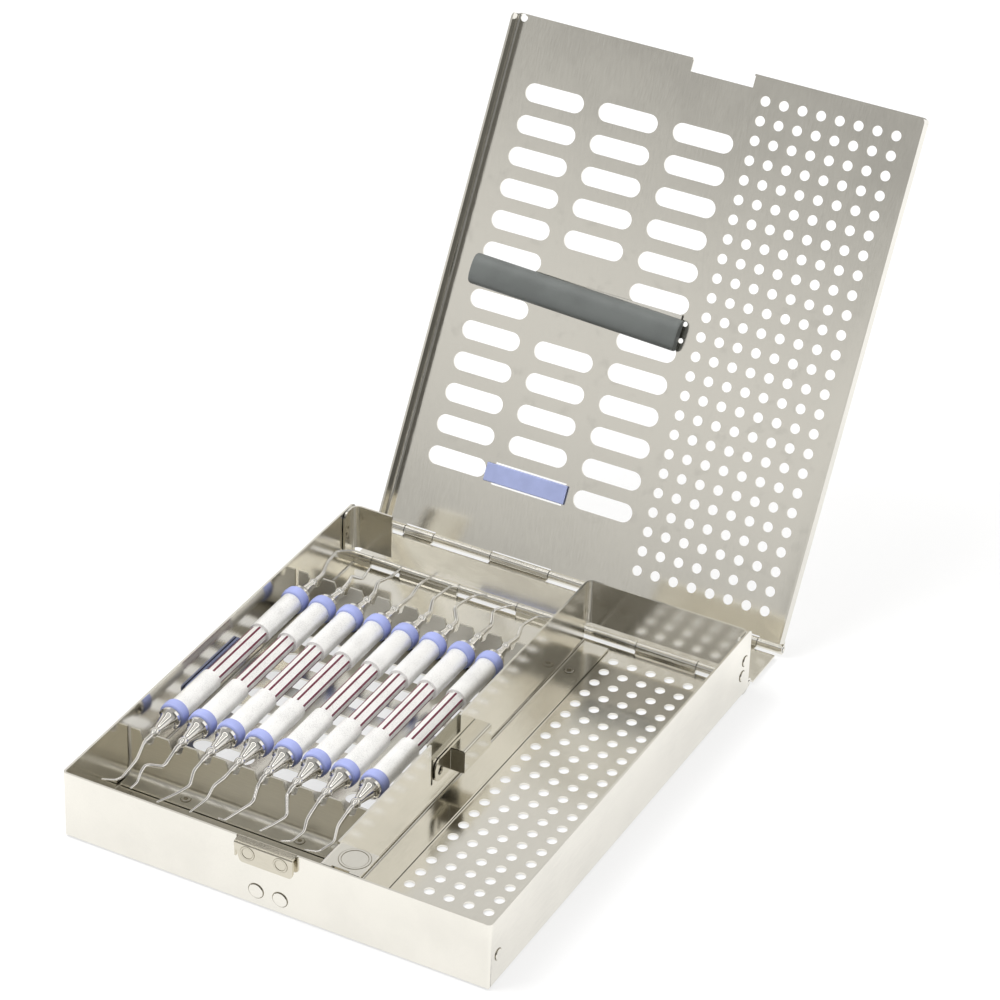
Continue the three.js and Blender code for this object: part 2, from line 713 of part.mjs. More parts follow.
// Closes a run of equal rings into one body: side walls between them and a fan on each end.
function skin(rings) {
  const count = rings[0].length;
  const index = [];
  for (let ring = 0; ring < rings.length - 1; ring += 1) {
    for (let i = 0; i < count; i += 1) {
      const a = ring * count + i;
      const b = ring * count + ((i + 1) % count);
      index.push(a, b, a + count, b, b + count, a + count);
    }
  }
  const lastRing = (rings.length - 1) * count;
  for (let i = 1; i < count - 1; i += 1) {
    index.push(0, i + 1, i);
    index.push(lastRing, lastRing + i, lastRing + i + 1);
  }
  const geometry = new THREE.BufferGeometry().setFromPoints(rings.flat());
  geometry.setIndex(index);
  return geometry;
}

function instrument(index) {
  const hexagon = polygon(0, 0, hexagonRadius, hexagonSides, Math.PI / 2);
  return join(
    prism("y", shapeOf(hexagon), hexagonFrom - hexagonOverlap, hexagonTo + hexagonOverlap),
    handleEnd(-1, frontRingY, frontRackY, hexagonFrom),
    handleEnd(1, rearRingY, rearRackY, hexagonTo),
    bentWire(frontWires, index, frontRackY, -1),
    bentWire(rearWires, index, rearRackY, 1),
  );
}

function ring() {
  const outer = polygon(0, 0, ringRadius, handleSides);
  const bore = polygon(0, 0, handleRadius + gap, handleSides);
  return prism("y", shapeOf(outer, [bore]), -ringWidth / 2, ringWidth / 2);
}

// Materials, with the colours of the photograph

function brushedSteel() {
  return new THREE.MeshStandardMaterial({ color: 0xb4b2aa, roughness: 0.38, metalness: 1 });
}

function springSteel() {
  return new THREE.MeshStandardMaterial({ color: 0xc6c4be, roughness: 0.3, metalness: 1 });
}

function polishedSteel() {
  return new THREE.MeshStandardMaterial({ color: 0xd4d4d2, roughness: 0.14, metalness: 1 });
}

function blueSilicone() {
  return new THREE.MeshStandardMaterial({ color: 0xa3aee0, roughness: 0.55, metalness: 0 });
}

function bluePlastic() {
  return new THREE.MeshStandardMaterial({ color: 0x9aa4de, roughness: 0.45, metalness: 0 });
}

function greySilicone() {
  return new THREE.MeshStandardMaterial({ color: 0x626c6f, roughness: 0.6, metalness: 0 });
}

function piece(name, solid, material) {
  const mesh = new THREE.Mesh(toGeometry(solid), material);
  mesh.name = name;
  return mesh;
}

// Assembly

function trayGroup() {
  const group = new THREE.Group();
  group.add(
    piece("tray_pan", trayPan(), brushedSteel()),
    piece("left_corner_bracket", leftCornerBracket(), brushedSteel()),
    piece("divider", divider(), brushedSteel()),
    piece("divider_clip", dividerClip(), springSteel()),
    piece("front_rack", rack(frontRackY, -1), brushedSteel()),
    piece("rear_rack", rack(rearRackY, 1), brushedSteel()),
    piece("wall_id_strip", wallIdStrip(), bluePlastic()),
    piece("latch_leaf", latchLeaf(), springSteel()),
    piece("lower_hinge_pin", hingePin(lowerHingeY, hingeHeight, lowerHingeEnd), springSteel()),
  );
  return group;
}

function spineGroup() {
  const group = new THREE.Group();
  group.add(
    piece("spine_flap", spineFlap(), brushedSteel()),
    piece("upper_hinge_pin", hingePin(upperHingeY, hingeHeight, upperHingeEnd), springSteel()),
  );
  return group;
}

function lidGroup() {
  const group = new THREE.Group();
  const pressBar = piece("hold_down_bar", holdDownBar(), greySilicone());
  pressBar.position.set(bar.x, bar.s, 0);
  pressBar.rotation.z = THREE.MathUtils.degToRad(bar.tiltAngle);
  group.add(
    piece("lid", lid(), brushedSteel()),
    pressBar,
    piece("bar_carrier", barCarrier(), springSteel()),
    piece("lid_id_strip", lidIdStrip(), bluePlastic()),
  );
  group.position.set(0, upperHingeY, hingeHeight);
  group.rotation.x = THREE.MathUtils.degToRad(lidLean);
  return group;
}

function instrumentGroup(index) {
  const group = new THREE.Group();
  const number = index + 1;
  const front = piece(`ring_front_${number}`, ring(), blueSilicone());
  const rear = piece(`ring_rear_${number}`, ring(), blueSilicone());
  front.position.y = frontRingY;
  rear.position.y = rearRingY;
  group.add(piece(`instrument_${number}`, instrument(index), polishedSteel()), front, rear);
  group.position.set(instrumentX(index), 0, instrumentAxisZ);
  return group;
}

const cassette = new THREE.Group();
cassette.add(trayGroup(), spineGroup(), lidGroup());
frontWires.lengths.forEach((length, index) => cassette.add(instrumentGroup(index)));

export default cassette;
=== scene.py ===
"""A dental instrument cassette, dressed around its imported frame.

A perforated steel tray holds eight double-ended hand instruments in two notched racks. A divider
parts it from an accessory side, a spring latch sits on the front wall, and the shallow perforated
lid leans back on two piano hinges. Sizes are in millimetres, and become metres where a mesh is made.
"""

import logging
import math
from collections import defaultdict
from collections.abc import Callable, Iterable, Sequence
from dataclasses import dataclass, field
from enum import Enum
from typing import ClassVar

import bpy
import numpy as np
from mathutils import Matrix, Vector


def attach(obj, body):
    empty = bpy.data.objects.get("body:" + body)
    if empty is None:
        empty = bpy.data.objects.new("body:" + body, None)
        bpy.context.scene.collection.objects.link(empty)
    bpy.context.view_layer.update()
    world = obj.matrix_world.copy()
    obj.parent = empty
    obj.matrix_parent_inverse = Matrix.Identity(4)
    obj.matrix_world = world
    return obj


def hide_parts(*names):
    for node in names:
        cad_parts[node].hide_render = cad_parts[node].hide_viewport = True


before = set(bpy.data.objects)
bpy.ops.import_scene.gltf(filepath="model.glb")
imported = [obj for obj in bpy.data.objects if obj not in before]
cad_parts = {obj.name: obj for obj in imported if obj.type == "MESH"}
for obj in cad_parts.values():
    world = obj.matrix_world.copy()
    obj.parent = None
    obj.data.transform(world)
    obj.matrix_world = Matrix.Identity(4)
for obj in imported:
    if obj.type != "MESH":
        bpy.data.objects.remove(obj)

LOG = logging.getLogger("cassette")
MM = 0.001
FULL_TURN = 2 * math.pi
# How far the lid leans back in the photograph, in degrees
LID_LEAN = 60.29
# How far a cut runs past what it cuts
OVERRUN = 1.0
# How deep the base of a small relief lies in its sheet
SUNK = 0.05
# Corners of a single round hole, and of a small one
HOLE_SIDES, SMALL_HOLE_SIDES = 28, 20

Point = tuple[float, float]
Outline = list[Point]
Colour = tuple[float, float, float]
Sockets = dict[str | int, object]


class Axis(Enum):
    """One of the three axes."""

    X = "x"
    Y = "y"
    Z = "z"


# Outlines


def rectangle(u0: float, u1: float, v0: float, v1: float) -> Outline:
    """Returns the four corners of a rectangle."""
    return [(u0, v0), (u1, v0), (u1, v1), (u0, v1)]


def polygon(u: float, v: float, radius: float, sides: int, turn: float = 0.0) -> Outline:
    """Returns a regular polygon.

    Args:
        u: Middle, first coordinate.
        v: Middle, second coordinate.
        radius: From the middle to a corner.
        sides: How many corners it has.
        turn: Angle of the first corner, in radians.
    """
    angles = [turn + FULL_TURN * i / sides for i in range(sides)]
    return [(u + radius * math.cos(a), v + radius * math.sin(a)) for a in angles]


def round_corners(points: Outline, radii: Sequence[float], closed: bool, steps: int) -> Outline:
    """Replaces corners by arcs.

    Args:
        points: The run of corners.
        radii: The arc's radius at each corner, or 0 for a sharp one.
        closed: Whether the last corner joins the first.
        steps: How many chords an arc has.

    Returns:
        The run with its arcs.
    """
    count = len(points)
    made: Outline = []
    for i, point in enumerate(points):
        if not radii[i] or (not closed and i in (0, count - 1)):
            made.append(point)
            continue
        corner = Vector(point)
        before = (Vector(points[i - 1]) - corner).normalized()
        after = (Vector(points[(i + 1) % count]) - corner).normalized()
        half = before.angle(after) / 2
        centre = corner + (before + after).normalized() * (radii[i] / math.sin(half))
        first = corner + before * (radii[i] / math.tan(half)) - centre
        sweep = math.copysign(math.pi - 2 * half, after.x * before.y - after.y * before.x)
        for step in range(steps + 1):
            angle = sweep * step / steps
            turned = Matrix.Rotation(angle, 2) @ first
            made.append((centre.x + turned.x, centre.y + turned.y))
    return made


def rounded_rectangle(
    u0: float, u1: float, v0: float, v1: float, radii: Sequence[float], steps: int = 8
) -> Outline:
    """Returns a rectangle whose corners, from the lowest left round, have these radii."""
    return round_corners(rectangle(u0, u1, v0, v1), radii, True, steps)


def slot_outline(x: float, y: float, length: float, width: float, steps: int = 12) -> Outline:
    """Returns a slot with round ends, lying along the first coordinate.

    Args:
        x: Middle, first coordinate.
        y: Middle, second coordinate.
        length: Overall length.
        width: Width, and the diameter of the ends.
        steps: Chords in each end.
    """
    radius = width / 2
    reach = length / 2 - radius
    made: Outline = []
    for side in (1, -1):
        for step in range(steps + 1):
            angle = math.pi * step / steps - side * math.pi / 2
            made.append((x + side * reach + radius * math.cos(angle), y + radius * math.sin(angle)))
    return made


def sheet_section(line: Outline, radius: float, thickness: float, steps: int = 8) -> Outline:
    """Returns the section of a bent sheet.

    Args:
        line: The corners that the middle of the sheet follows.
        radius: Bend radius of that middle line.
        thickness: The sheet's thickness.
        steps: Chords in each bend.
    """
    half = thickness / 2
    corners = [Vector(p) for p in line]
    last = len(corners) - 1
    sides: list[Outline] = []
    for offset in (half, -half):
        points: Outline = []
        radii: list[float] = []
        for i, corner in enumerate(corners):
            into = (corners[max(i, 1)] - corners[max(i, 1) - 1]).normalized()
            out = (corners[min(i, last - 1) + 1] - corners[min(i, last - 1)]).normalized()
            normal = Vector((-into.y - out.y, into.x + out.x)).normalized()
            stretch = math.sqrt((1 + into.dot(out)) / 2)
            points.append(tuple(corner + normal * (offset / stretch)))
            turn = into.x * out.y - into.y * out.x
            bent = abs(turn) > 1e-6
            radii.append(radius - offset * math.copysign(1, turn) if bent else 0.0)
        sides.append(round_corners(points, radii, False, steps))
    return [*sides[1], *sides[0][::-1]]


def signed_area(outline: Outline) -> float:
    """Returns the outline's area, positive where it runs counterclockwise."""
    pairs = zip(outline, [*outline[1:], outline[0]])
    return sum(a[0] * b[1] - a[1] * b[0] for a, b in pairs) / 2


# Solids


def shift(x: float, y: float, z: float) -> Matrix:
    """Returns a move along the three axes."""
    return Matrix.Translation((x, y, z))


def rotation(axis: Axis, degrees: float) -> Matrix:
    """Returns a turn about an axis."""
    return Matrix.Rotation(math.radians(degrees), 4, axis.name)


def added(name: str, data: bpy.types.ID) -> bpy.types.Object:
    """Adds an object that holds this data to the scene.

    Args:
        name: The object's name.
        data: Its mesh, camera or lamp.

    Returns:
        The new object.
    """
    made = bpy.data.objects.new(name, data)
    bpy.context.scene.collection.objects.link(made)
    return made


@dataclass
class Solid:
    """A closed body as points and faces. Bodies are joined with +, cut with - and crossed with &."""

    points: np.ndarray
    faces: list[tuple[int, ...]]

    @staticmethod
    def gather(parts: Iterable["Solid"]) -> "Solid":
        """Returns one solid that holds separate parts which don't touch each other."""
        points: list[np.ndarray] = []
        faces: list[tuple[int, ...]] = []
        count = 0
        for part in parts:
            points.append(part.points)
            faces.extend(tuple(i + count for i in face) for face in part.faces)
            count += len(part.points)
        return Solid(np.concatenate(points), faces)

    def __add__(self, other: "Solid") -> "Solid":
        """Joins two solids."""
        return self._combined(other, "UNION")

    def __sub__(self, other: "Solid") -> "Solid":
        """Cuts the other solid away."""
        return self._combined(other, "DIFFERENCE")

    def __and__(self, other: "Solid") -> "Solid":
        """Keeps what both solids hold."""
        return self._combined(other, "INTERSECT")

    def moved(self, matrix: Matrix) -> "Solid":
        """Returns the solid carried by a matrix."""
        turned = self.points @ np.array(matrix.to_3x3()).T + np.array(matrix.translation)
        return Solid(turned, self.faces)

    def mesh(self, name: str, scale: float = 1.0) -> bpy.types.Mesh:
        """Returns the solid as a mesh, with its sizes times scale."""
        made = bpy.data.meshes.new(name)
        made.from_pydata((self.points * scale).tolist(), [], self.faces)
        made.update()
        return made

    def _combined(self, other: "Solid", operation: str) -> "Solid":
        """Joins, cuts or crosses the solid with another one.

        Args:
            other: The other solid.
            operation: The name of the boolean operation.

        Returns:
            The new solid.

        Raises:
            ValueError: If nothing is left.
        """
        base, tool = added("base", self.mesh("base")), added("tool", other.mesh("tool"))
        modifier = base.modifiers.new("combine", "BOOLEAN")
        modifier.operation = operation
        modifier.solver = "MANIFOLD"
        modifier.object = tool
        shown = base.evaluated_get(bpy.context.evaluated_depsgraph_get())
        made = shown.to_mesh()
        points = np.empty(len(made.vertices) * 3)
        made.vertices.foreach_get("co", points)
        faces = [tuple(face.vertices) for face in made.polygons]
        shown.to_mesh_clear()
        for part in (base, tool):
            bpy.data.meshes.remove(part.data)
        if not faces:
            raise ValueError(f"nothing is left after {operation.lower()}")
        return Solid(points.reshape(-1, 3), faces)


def prism(axis: Axis, outline: Outline, start: float, end: float) -> Solid:
    """Draws an outline out along an axis.

    Args:
        axis: Across x the outline is in (y, z), across y in (x, z) and across z in (x, y).
        outline: The section.
        start: Where it begins along the axis.
        end: Where it ends.
    """
    if (signed_area(outline) < 0) != (axis is Axis.Y):
        outline = outline[::-1]
    count = len(outline)
    place: dict[Axis, Callable[[float, float, float], tuple[float, float, float]]] = {
        Axis.X: lambda u, v, w: (w, u, v),
        Axis.Y: lambda u, v, w: (u, w, v),
        Axis.Z: lambda u, v, w: (u, v, w),
    }
    points = [place[axis](u, v, w) for w in (start, end) for u, v in outline]
    sides = [(i, (i + 1) % count, (i + 1) % count + count, i + count) for i in range(count)]
    caps = [tuple(range(count))[::-1], tuple(range(count, 2 * count))]
    return Solid(np.array(points, float), [*caps, *sides])


def block(x0: float, x1: float, y0: float, y1: float, z0: float, z1: float) -> Solid:
    """Returns a box between these limits."""
    return prism(Axis.Z, rectangle(x0, x1, y0, y1), z0, z1)


def skin(rings: Sequence[Sequence[Vector]]) -> Solid:
    """Closes a run of equal rings into one body, with a flat face on each end."""
    count = len(rings[0])
    last = (len(rings) - 1) * count
    pairs = [(i, (i + 1) % count) for i in range(count)]
    faces: list[tuple[int, ...]] = [
        (low + i, low + j, low + j + count, low + i + count)
        for low in range(0, last, count)
        for i, j in pairs
    ]
    faces += [tuple(range(count))[::-1], tuple(range(last, last + count))]
    return Solid(np.array([p for ring in rings for p in ring], float), faces)


def revolve(profile: Outline, sides: int, turn: float = 0.0) -> Solid:
    """Turns a profile of (radius, y), from low to high y, about the y axis and closes its ends."""
    angles = [turn + FULL_TURN * i / sides for i in range(sides)]
    return skin([[Vector((r * math.sin(a), y, r * math.cos(a))) for a in angles] for r, y in profile])


def tube(path: Sequence[Vector], radii: Sequence[Point], first: Vector, sides: int) -> Solid:
    """Sweeps an ellipse along a path.

    Args:
        path: The points of the middle line.
        radii: Two half widths at each point: along the carried direction, and across it.
        first: The direction of the first half width at the start.
        sides: Corners of the section.
    """
    rings = []
    angles = [FULL_TURN * k / sides for k in range(sides)]
    carried = first.copy()
    for i, point in enumerate(path):
        along = (path[min(i + 1, len(path) - 1)] - path[max(i - 1, 0)]).normalized()
        carried = (carried - along * carried.dot(along)).normalized()
        across = along.cross(carried)
        wide, thick = radii[i]
        rings.append([
            point + carried * (wide * math.cos(a)) + across * (thick * math.sin(a)) for a in angles
        ])
    return skin(rings)


# Meshes for the scene


def surface_normals(mesh: bpy.types.Mesh, crease: float) -> None:
    """Gives each corner of a mesh its surface's normal, so that flats stay flat beside their bends.

    Args:
        mesh: The mesh to shade.
        crease: The angle, in degrees, from which an edge stays sharp.
    """
    normals = np.array([face.normal for face in mesh.polygons])
    areas = np.array([face.area for face in mesh.polygons])
    flat_angle, least_length = 0.4, 1e-12
    sharp, level = math.cos(math.radians(crease)), math.cos(math.radians(flat_angle))
    beside: dict[tuple[int, int], list[int]] = defaultdict(list)
    for face in mesh.polygons:
        for key in face.edge_keys:
            beside[key].append(face.index)
    leader = list(range(len(normals)))

    def lead(face: int) -> int:
        """Returns the face that stands for the whole flat of a face."""
        while leader[face] != face:
            leader[face] = leader[leader[face]]
            face = leader[face]
        return face

    linked: dict[int, list[tuple[int, int]]] = defaultdict(list)
    for key, pair in beside.items():
        if len(pair) != 2:
            continue
        match = float(normals[pair[0]] @ normals[pair[1]])
        if match > level:
            leader[lead(pair[0])] = lead(pair[1])
        if match > sharp:
            for vertex in key:
                linked[vertex].append((pair[0], pair[1]))
    flats: dict[int, np.ndarray] = defaultdict(lambda: np.zeros(3))
    for face in range(len(normals)):
        flats[lead(face)] += normals[face] * areas[face]
    corners = np.empty((len(mesh.loops), 3))
    for face in mesh.polygons:
        for loop, vertex in zip(face.loop_indices, face.vertices):
            group = {face.index}
            links = linked.get(vertex, [])
            grown = True
            while grown:
                size = len(group)
                for a, b in links:
                    if a in group or b in group:
                        group.update((a, b))
                grown = len(group) > size
            total = sum(flats[k] for k in {lead(f) for f in group})
            corners[loop] = total / max(np.linalg.norm(total), least_length)
    mesh.polygons.foreach_set("use_smooth", [True] * len(mesh.polygons))
    mesh.normals_split_custom_set(corners.tolist())


@dataclass(frozen=True)
class Place:
    """The body that pieces ride on, and where their own axes lie in the whole object's."""

    body: str
    matrix: Matrix = field(default_factory=Matrix)


def show(
    name: str,
    solid: Solid,
    material: bpy.types.Material,
    place: Place,
    stands_for: Sequence[str] = (),
    crease: float = 32.0,
) -> None:
    """Adds a solid to the scene as a finished piece.

    Args:
        name: The piece's name.
        solid: Its shape, in millimetres, in its place's own axes.
        material: Its finish.
        place: The body that it rides on and its axes.
        stands_for: The frame's nodes that it replaces.
        crease: The angle, in degrees, from which an edge stays sharp.
    """
    mesh = solid.moved(place.matrix).mesh(name, MM)
    surface_normals(mesh, crease)
    mesh.materials.append(material)
    piece = added(name, mesh)
    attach(piece, place.body)
    if stands_for:
        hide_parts(*stands_for)
    LOG.info("%s: %d faces on %s", name, len(mesh.polygons), place.body)


# Shader sums


@dataclass(frozen=True)
class Signal:
    """A node's output, which takes part in sums like a number."""

    recipe: "Recipe"
    socket: bpy.types.NodeSocket

    def _with(self, operation: str, first: "Signal | float", second: "Signal | float") -> "Signal":
        """Returns the result of one sum."""
        return self.recipe.node("ShaderNodeMath", {"operation": operation}, {0: first, 1: second})

    def __add__(self, other: "Signal | float") -> "Signal":
        """Adds."""
        return self._with("ADD", self, other)

    __radd__ = __add__

    def __sub__(self, other: "Signal | float") -> "Signal":
        """Subtracts."""
        return self._with("SUBTRACT", self, other)

    def __rsub__(self, other: float) -> "Signal":
        """Subtracts from a number."""
        return self._with("SUBTRACT", other, self)

    def __mul__(self, other: "Signal | float") -> "Signal":
        """Multiplies."""
        return self._with("MULTIPLY", self, other)

    __rmul__ = __mul__


class Recipe:
    """A node tree, to which one method adds any node."""

    def __init__(self, holder: "bpy.types.Material | bpy.types.World", lean: float = 0.0) -> None:
        """Empties the tree of a material or of the world.

        Args:
            holder: What the tree belongs to.
            lean: How far the sheet that takes the material leans back, in degrees.
        """
        holder.use_nodes = True
        self.holder = holder
        self.lean = lean
        self.tree = holder.node_tree
        self.tree.nodes.clear()

    @staticmethod
    def named(name: str, lean: float = 0.0) -> "Recipe":
        """Returns the recipe of a new material, whose grain follows a sheet that leans back."""
        return Recipe(bpy.data.materials.new(name), lean)

    def add(
        self, kind: str, settings: dict[str, object] | None = None, sockets: Sockets | None = None
    ) -> bpy.types.Node:
        """Adds a node.

        Args:
            kind: The node's type.
            settings: Its own settings, which are set first.
            sockets: Values or signals for its inputs.

        Returns:
            The node.
        """
        made = self.tree.nodes.new(kind)
        for key, value in (settings or {}).items():
            setattr(made, key, value)
        for key, value in (sockets or {}).items():
            if isinstance(value, Signal):
                self.tree.links.new(value.socket, made.inputs[key])
            else:
                made.inputs[key].default_value = value
        return made

    def node(
        self,
        kind: str,
        settings: dict[str, object] | None = None,
        sockets: Sockets | None = None,
        output: str | int = 0,
    ) -> Signal:
        """Adds a node and returns one of its outputs.

        Args:
            kind: The node's type.
            settings: Its own settings.
            sockets: Values or signals for its inputs.
            output: The output that the signal reads.

        Returns:
            The node's output.
        """
        return Signal(self, self.add(kind, settings, sockets).outputs[output])

    def coordinates(self, stretch: Sequence[float]) -> Signal:
        """Returns the piece's own coordinates, in metres, times a stretch along each axis."""
        own = self.node("ShaderNodeTexCoord", output="Object")
        if self.lean:
            turned = {"Vector": own, "Angle": -math.radians(self.lean)}
            own = self.node("ShaderNodeVectorRotate", {"rotation_type": "X_AXIS"}, turned)
        sockets = {0: own, 1: tuple(stretch)}
        return self.node("ShaderNodeVectorMath", {"operation": "MULTIPLY"}, sockets)

    def noise(self, stretch: Sequence[float], detail: float = 2.0) -> Signal:
        """Returns a noise that varies about 0.5, with this many waves a metre along each axis."""
        sockets = {"Vector": self.coordinates(stretch), "Scale": 1.0, "Detail": detail}
        return self.node("ShaderNodeTexNoise", sockets=sockets)

    def blend(self, share: Signal, first: Colour | Signal, second: Colour) -> Signal:
        """Returns a colour between two, by a share."""
        settings = {"data_type": "RGBA", "clamp_factor": True}
        start = first if isinstance(first, Signal) else (*first, 1.0)
        return self.node("ShaderNodeMix", settings, {0: share, 6: start, 7: (*second, 1.0)}, output=2)

    def between(self, value: Signal, low: float, high: float) -> Signal:
        """Returns where a value lies between two limits, from 0 to 1."""
        sockets = {0: value, 1: low, 2: high}
        return self.node("ShaderNodeMapRange", {"interpolation_type": "SMOOTHSTEP"}, sockets)

    def crevices(self, reach: float) -> Signal:
        """Returns how closed in a place is, from 0 in the open to 1, within a reach in metres."""
        settings, sockets = {"samples": 6}, {"Distance": reach}
        return 1.0 - self.node("ShaderNodeAmbientOcclusion", settings, sockets, output="AO")

    def seen(self) -> Signal:
        """Returns 1 for rays that show a white surrounding: of the camera, mirrors and glass."""
        rays = self.add("ShaderNodeLightPath").outputs
        names = ("Is Camera Ray", "Is Glossy Ray", "Is Transmission Ray")
        return sum((Signal(self, rays[name]) for name in names[1:]), Signal(self, rays[names[0]]))

    def bump(self, height: Signal, strength: float, distance: float) -> Signal:
        """Returns the normal of a surface with this relief."""
        sockets = {"Height": height, "Strength": strength, "Distance": distance}
        return self.node("ShaderNodeBump", sockets=sockets)

    def finish(self, **sockets: object) -> bpy.types.Material:
        """Closes the tree with a surface shader.

        Args:
            sockets: The shader's inputs, with underscores for spaces.

        Returns:
            The material.
        """
        named = {key.replace("_", " "): value for key, value in sockets.items()}
        surface = self.node("ShaderNodeBsdfPrincipled", sockets=named)
        self.add("ShaderNodeOutputMaterial", sockets={"Surface": surface})
        return self.holder


# Finishes


@dataclass(frozen=True)
class BrushedSteel:
    """Satin stainless sheet with a fine grain along one axis, cloudy wear and painted shade in its
    crevices.
    """

    name: str
    along: Axis
    colour: Colour = (0.86, 0.835, 0.765)
    roughness: float = 0.14
    grain: float = 0.02
    # Colour of the painted shade in crevices and corners
    crevice_shade: Colour = (0.17, 0.15, 0.105)
    lean: float = 0.0

    def material(self) -> bpy.types.Material:
        """Returns the finish as a material."""
        recipe = Recipe.named(self.name, self.lean)
        fine, coarse, cloud, mark = 3600.0, 190.0, 38.0, 150.0
        dull, reach, relief = 0.93, 0.0014, 0.001
        stretch = [coarse if axis is self.along else fine for axis in Axis]
        strokes = recipe.noise(stretch, 2.0)
        clouds = recipe.noise((cloud,) * 3, 4.0)
        marks = recipe.between(recipe.noise((mark,) * 3, 5.0), 0.58, 0.72)
        tone = recipe.between(clouds * 0.6 + strokes * 0.4, 0.36, 0.62)
        rough = clouds * 0.07 + strokes * 0.07 + marks * 0.03 + (self.roughness - 0.07)
        sheet = recipe.blend(tone, tuple(c * dull for c in self.colour), self.colour)
        # Painted shade: where the surface is closed in, the colour darkens toward the dark crevice
        # colour
        closed = recipe.between(recipe.crevices(reach), 0.52, 0.98)
        return recipe.finish(
            Base_Color=recipe.blend(closed, sheet, self.crevice_shade),
            Metallic=1.0,
            Roughness=rough,
            Normal=recipe.bump(strokes, self.grain, relief),
        )


@dataclass(frozen=True)
class ShadeAndGrimeSteel:
    """Dark, dull steel for lines of painted shade around rivets, stamps, rings and creases, with some
    grime at the rivets.
    """

    name: str = "burnished_seam"
    colour: Colour = (0.20, 0.18, 0.13)

    def material(self) -> bpy.types.Material:
        """Returns the finish as a material."""
        recipe = Recipe.named(self.name)
        patches = recipe.noise((700.0, 700.0, 700.0), 3.0)
        return recipe.finish(
            Base_Color=recipe.blend(patches, self.colour, tuple(c * 1.7 for c in self.colour)),
            Metallic=0.8,
            Roughness=patches * 0.2 + 0.35,
            Normal=recipe.bump(patches, 0.1, 0.0003),
        )


@dataclass(frozen=True)
class Chrome:
    """Bright plated steel with soft polishing waves and painted shade in its crevices."""

    name: str = "polished_chrome"
    colour: Colour = (0.93, 0.91, 0.87)

    def material(self) -> bpy.types.Material:
        """Returns the finish as a material."""
        recipe = Recipe.named(self.name)
        haze = recipe.noise((220.0, 220.0, 220.0), 3.0)
        # Painted shade: where the surface is closed in, the colour darkens toward near black
        closed = recipe.between(recipe.crevices(0.0012), 0.4, 0.9)
        plated = recipe.blend(haze, self.colour, tuple(c * 0.95 for c in self.colour))
        return recipe.finish(
            Base_Color=recipe.blend(closed, plated, (0.12, 0.10, 0.07)),
            Metallic=1.0,
            Roughness=haze * 0.06 + 0.04,
            Normal=recipe.bump(haze, 0.05, 0.0005),
        )


@dataclass(frozen=True)
class SatinHandle:
    """Finely blasted, almost white steel of the handles."""

    name: str = "satin_handle_steel"
    colour: Colour = (0.97, 0.965, 0.95)

    def material(self) -> bpy.types.Material:
        """Returns the finish as a material."""
        recipe = Recipe.named(self.name)
        grit = recipe.noise((2600.0, 2600.0, 2600.0), 3.0)
        haze = recipe.noise((120.0, 120.0, 120.0), 3.0)
        tone = recipe.between(grit * 0.7 + haze * 0.3, 0.34, 0.56)
        return recipe.finish(
            Base_Color=recipe.blend(tone, tuple(c * 0.80 for c in self.colour), self.colour),
            Metallic=0.55,
            Roughness=grit * 0.12 + haze * 0.1 + 0.22,
            Normal=recipe.bump(grit, 0.5, 0.0003),
        )


@dataclass(frozen=True)
class Polymer:
    """Moulded silicone or plastic with a fine matt skin and slightly varied colour."""

    name: str
    colour: Colour
    roughness: float
    variation: float = 0.12

    def material(self) -> bpy.types.Material:
        """Returns the finish as a material."""
        recipe = Recipe.named(self.name)
        skin_grain = recipe.noise((2400.0, 2400.0, 2400.0), 3.0)
        patches = recipe.noise((90.0, 90.0, 90.0), 3.0)
        deep = tuple(c * (1 - self.variation) for c in self.colour)
        return recipe.finish(
            Base_Color=recipe.blend(recipe.between(patches, 0.35, 0.65), deep, self.colour),
            Roughness=skin_grain * 0.16 + patches * 0.1 + (self.roughness - 0.13),
            Normal=recipe.bump(skin_grain, 0.12, 0.0003),
        )


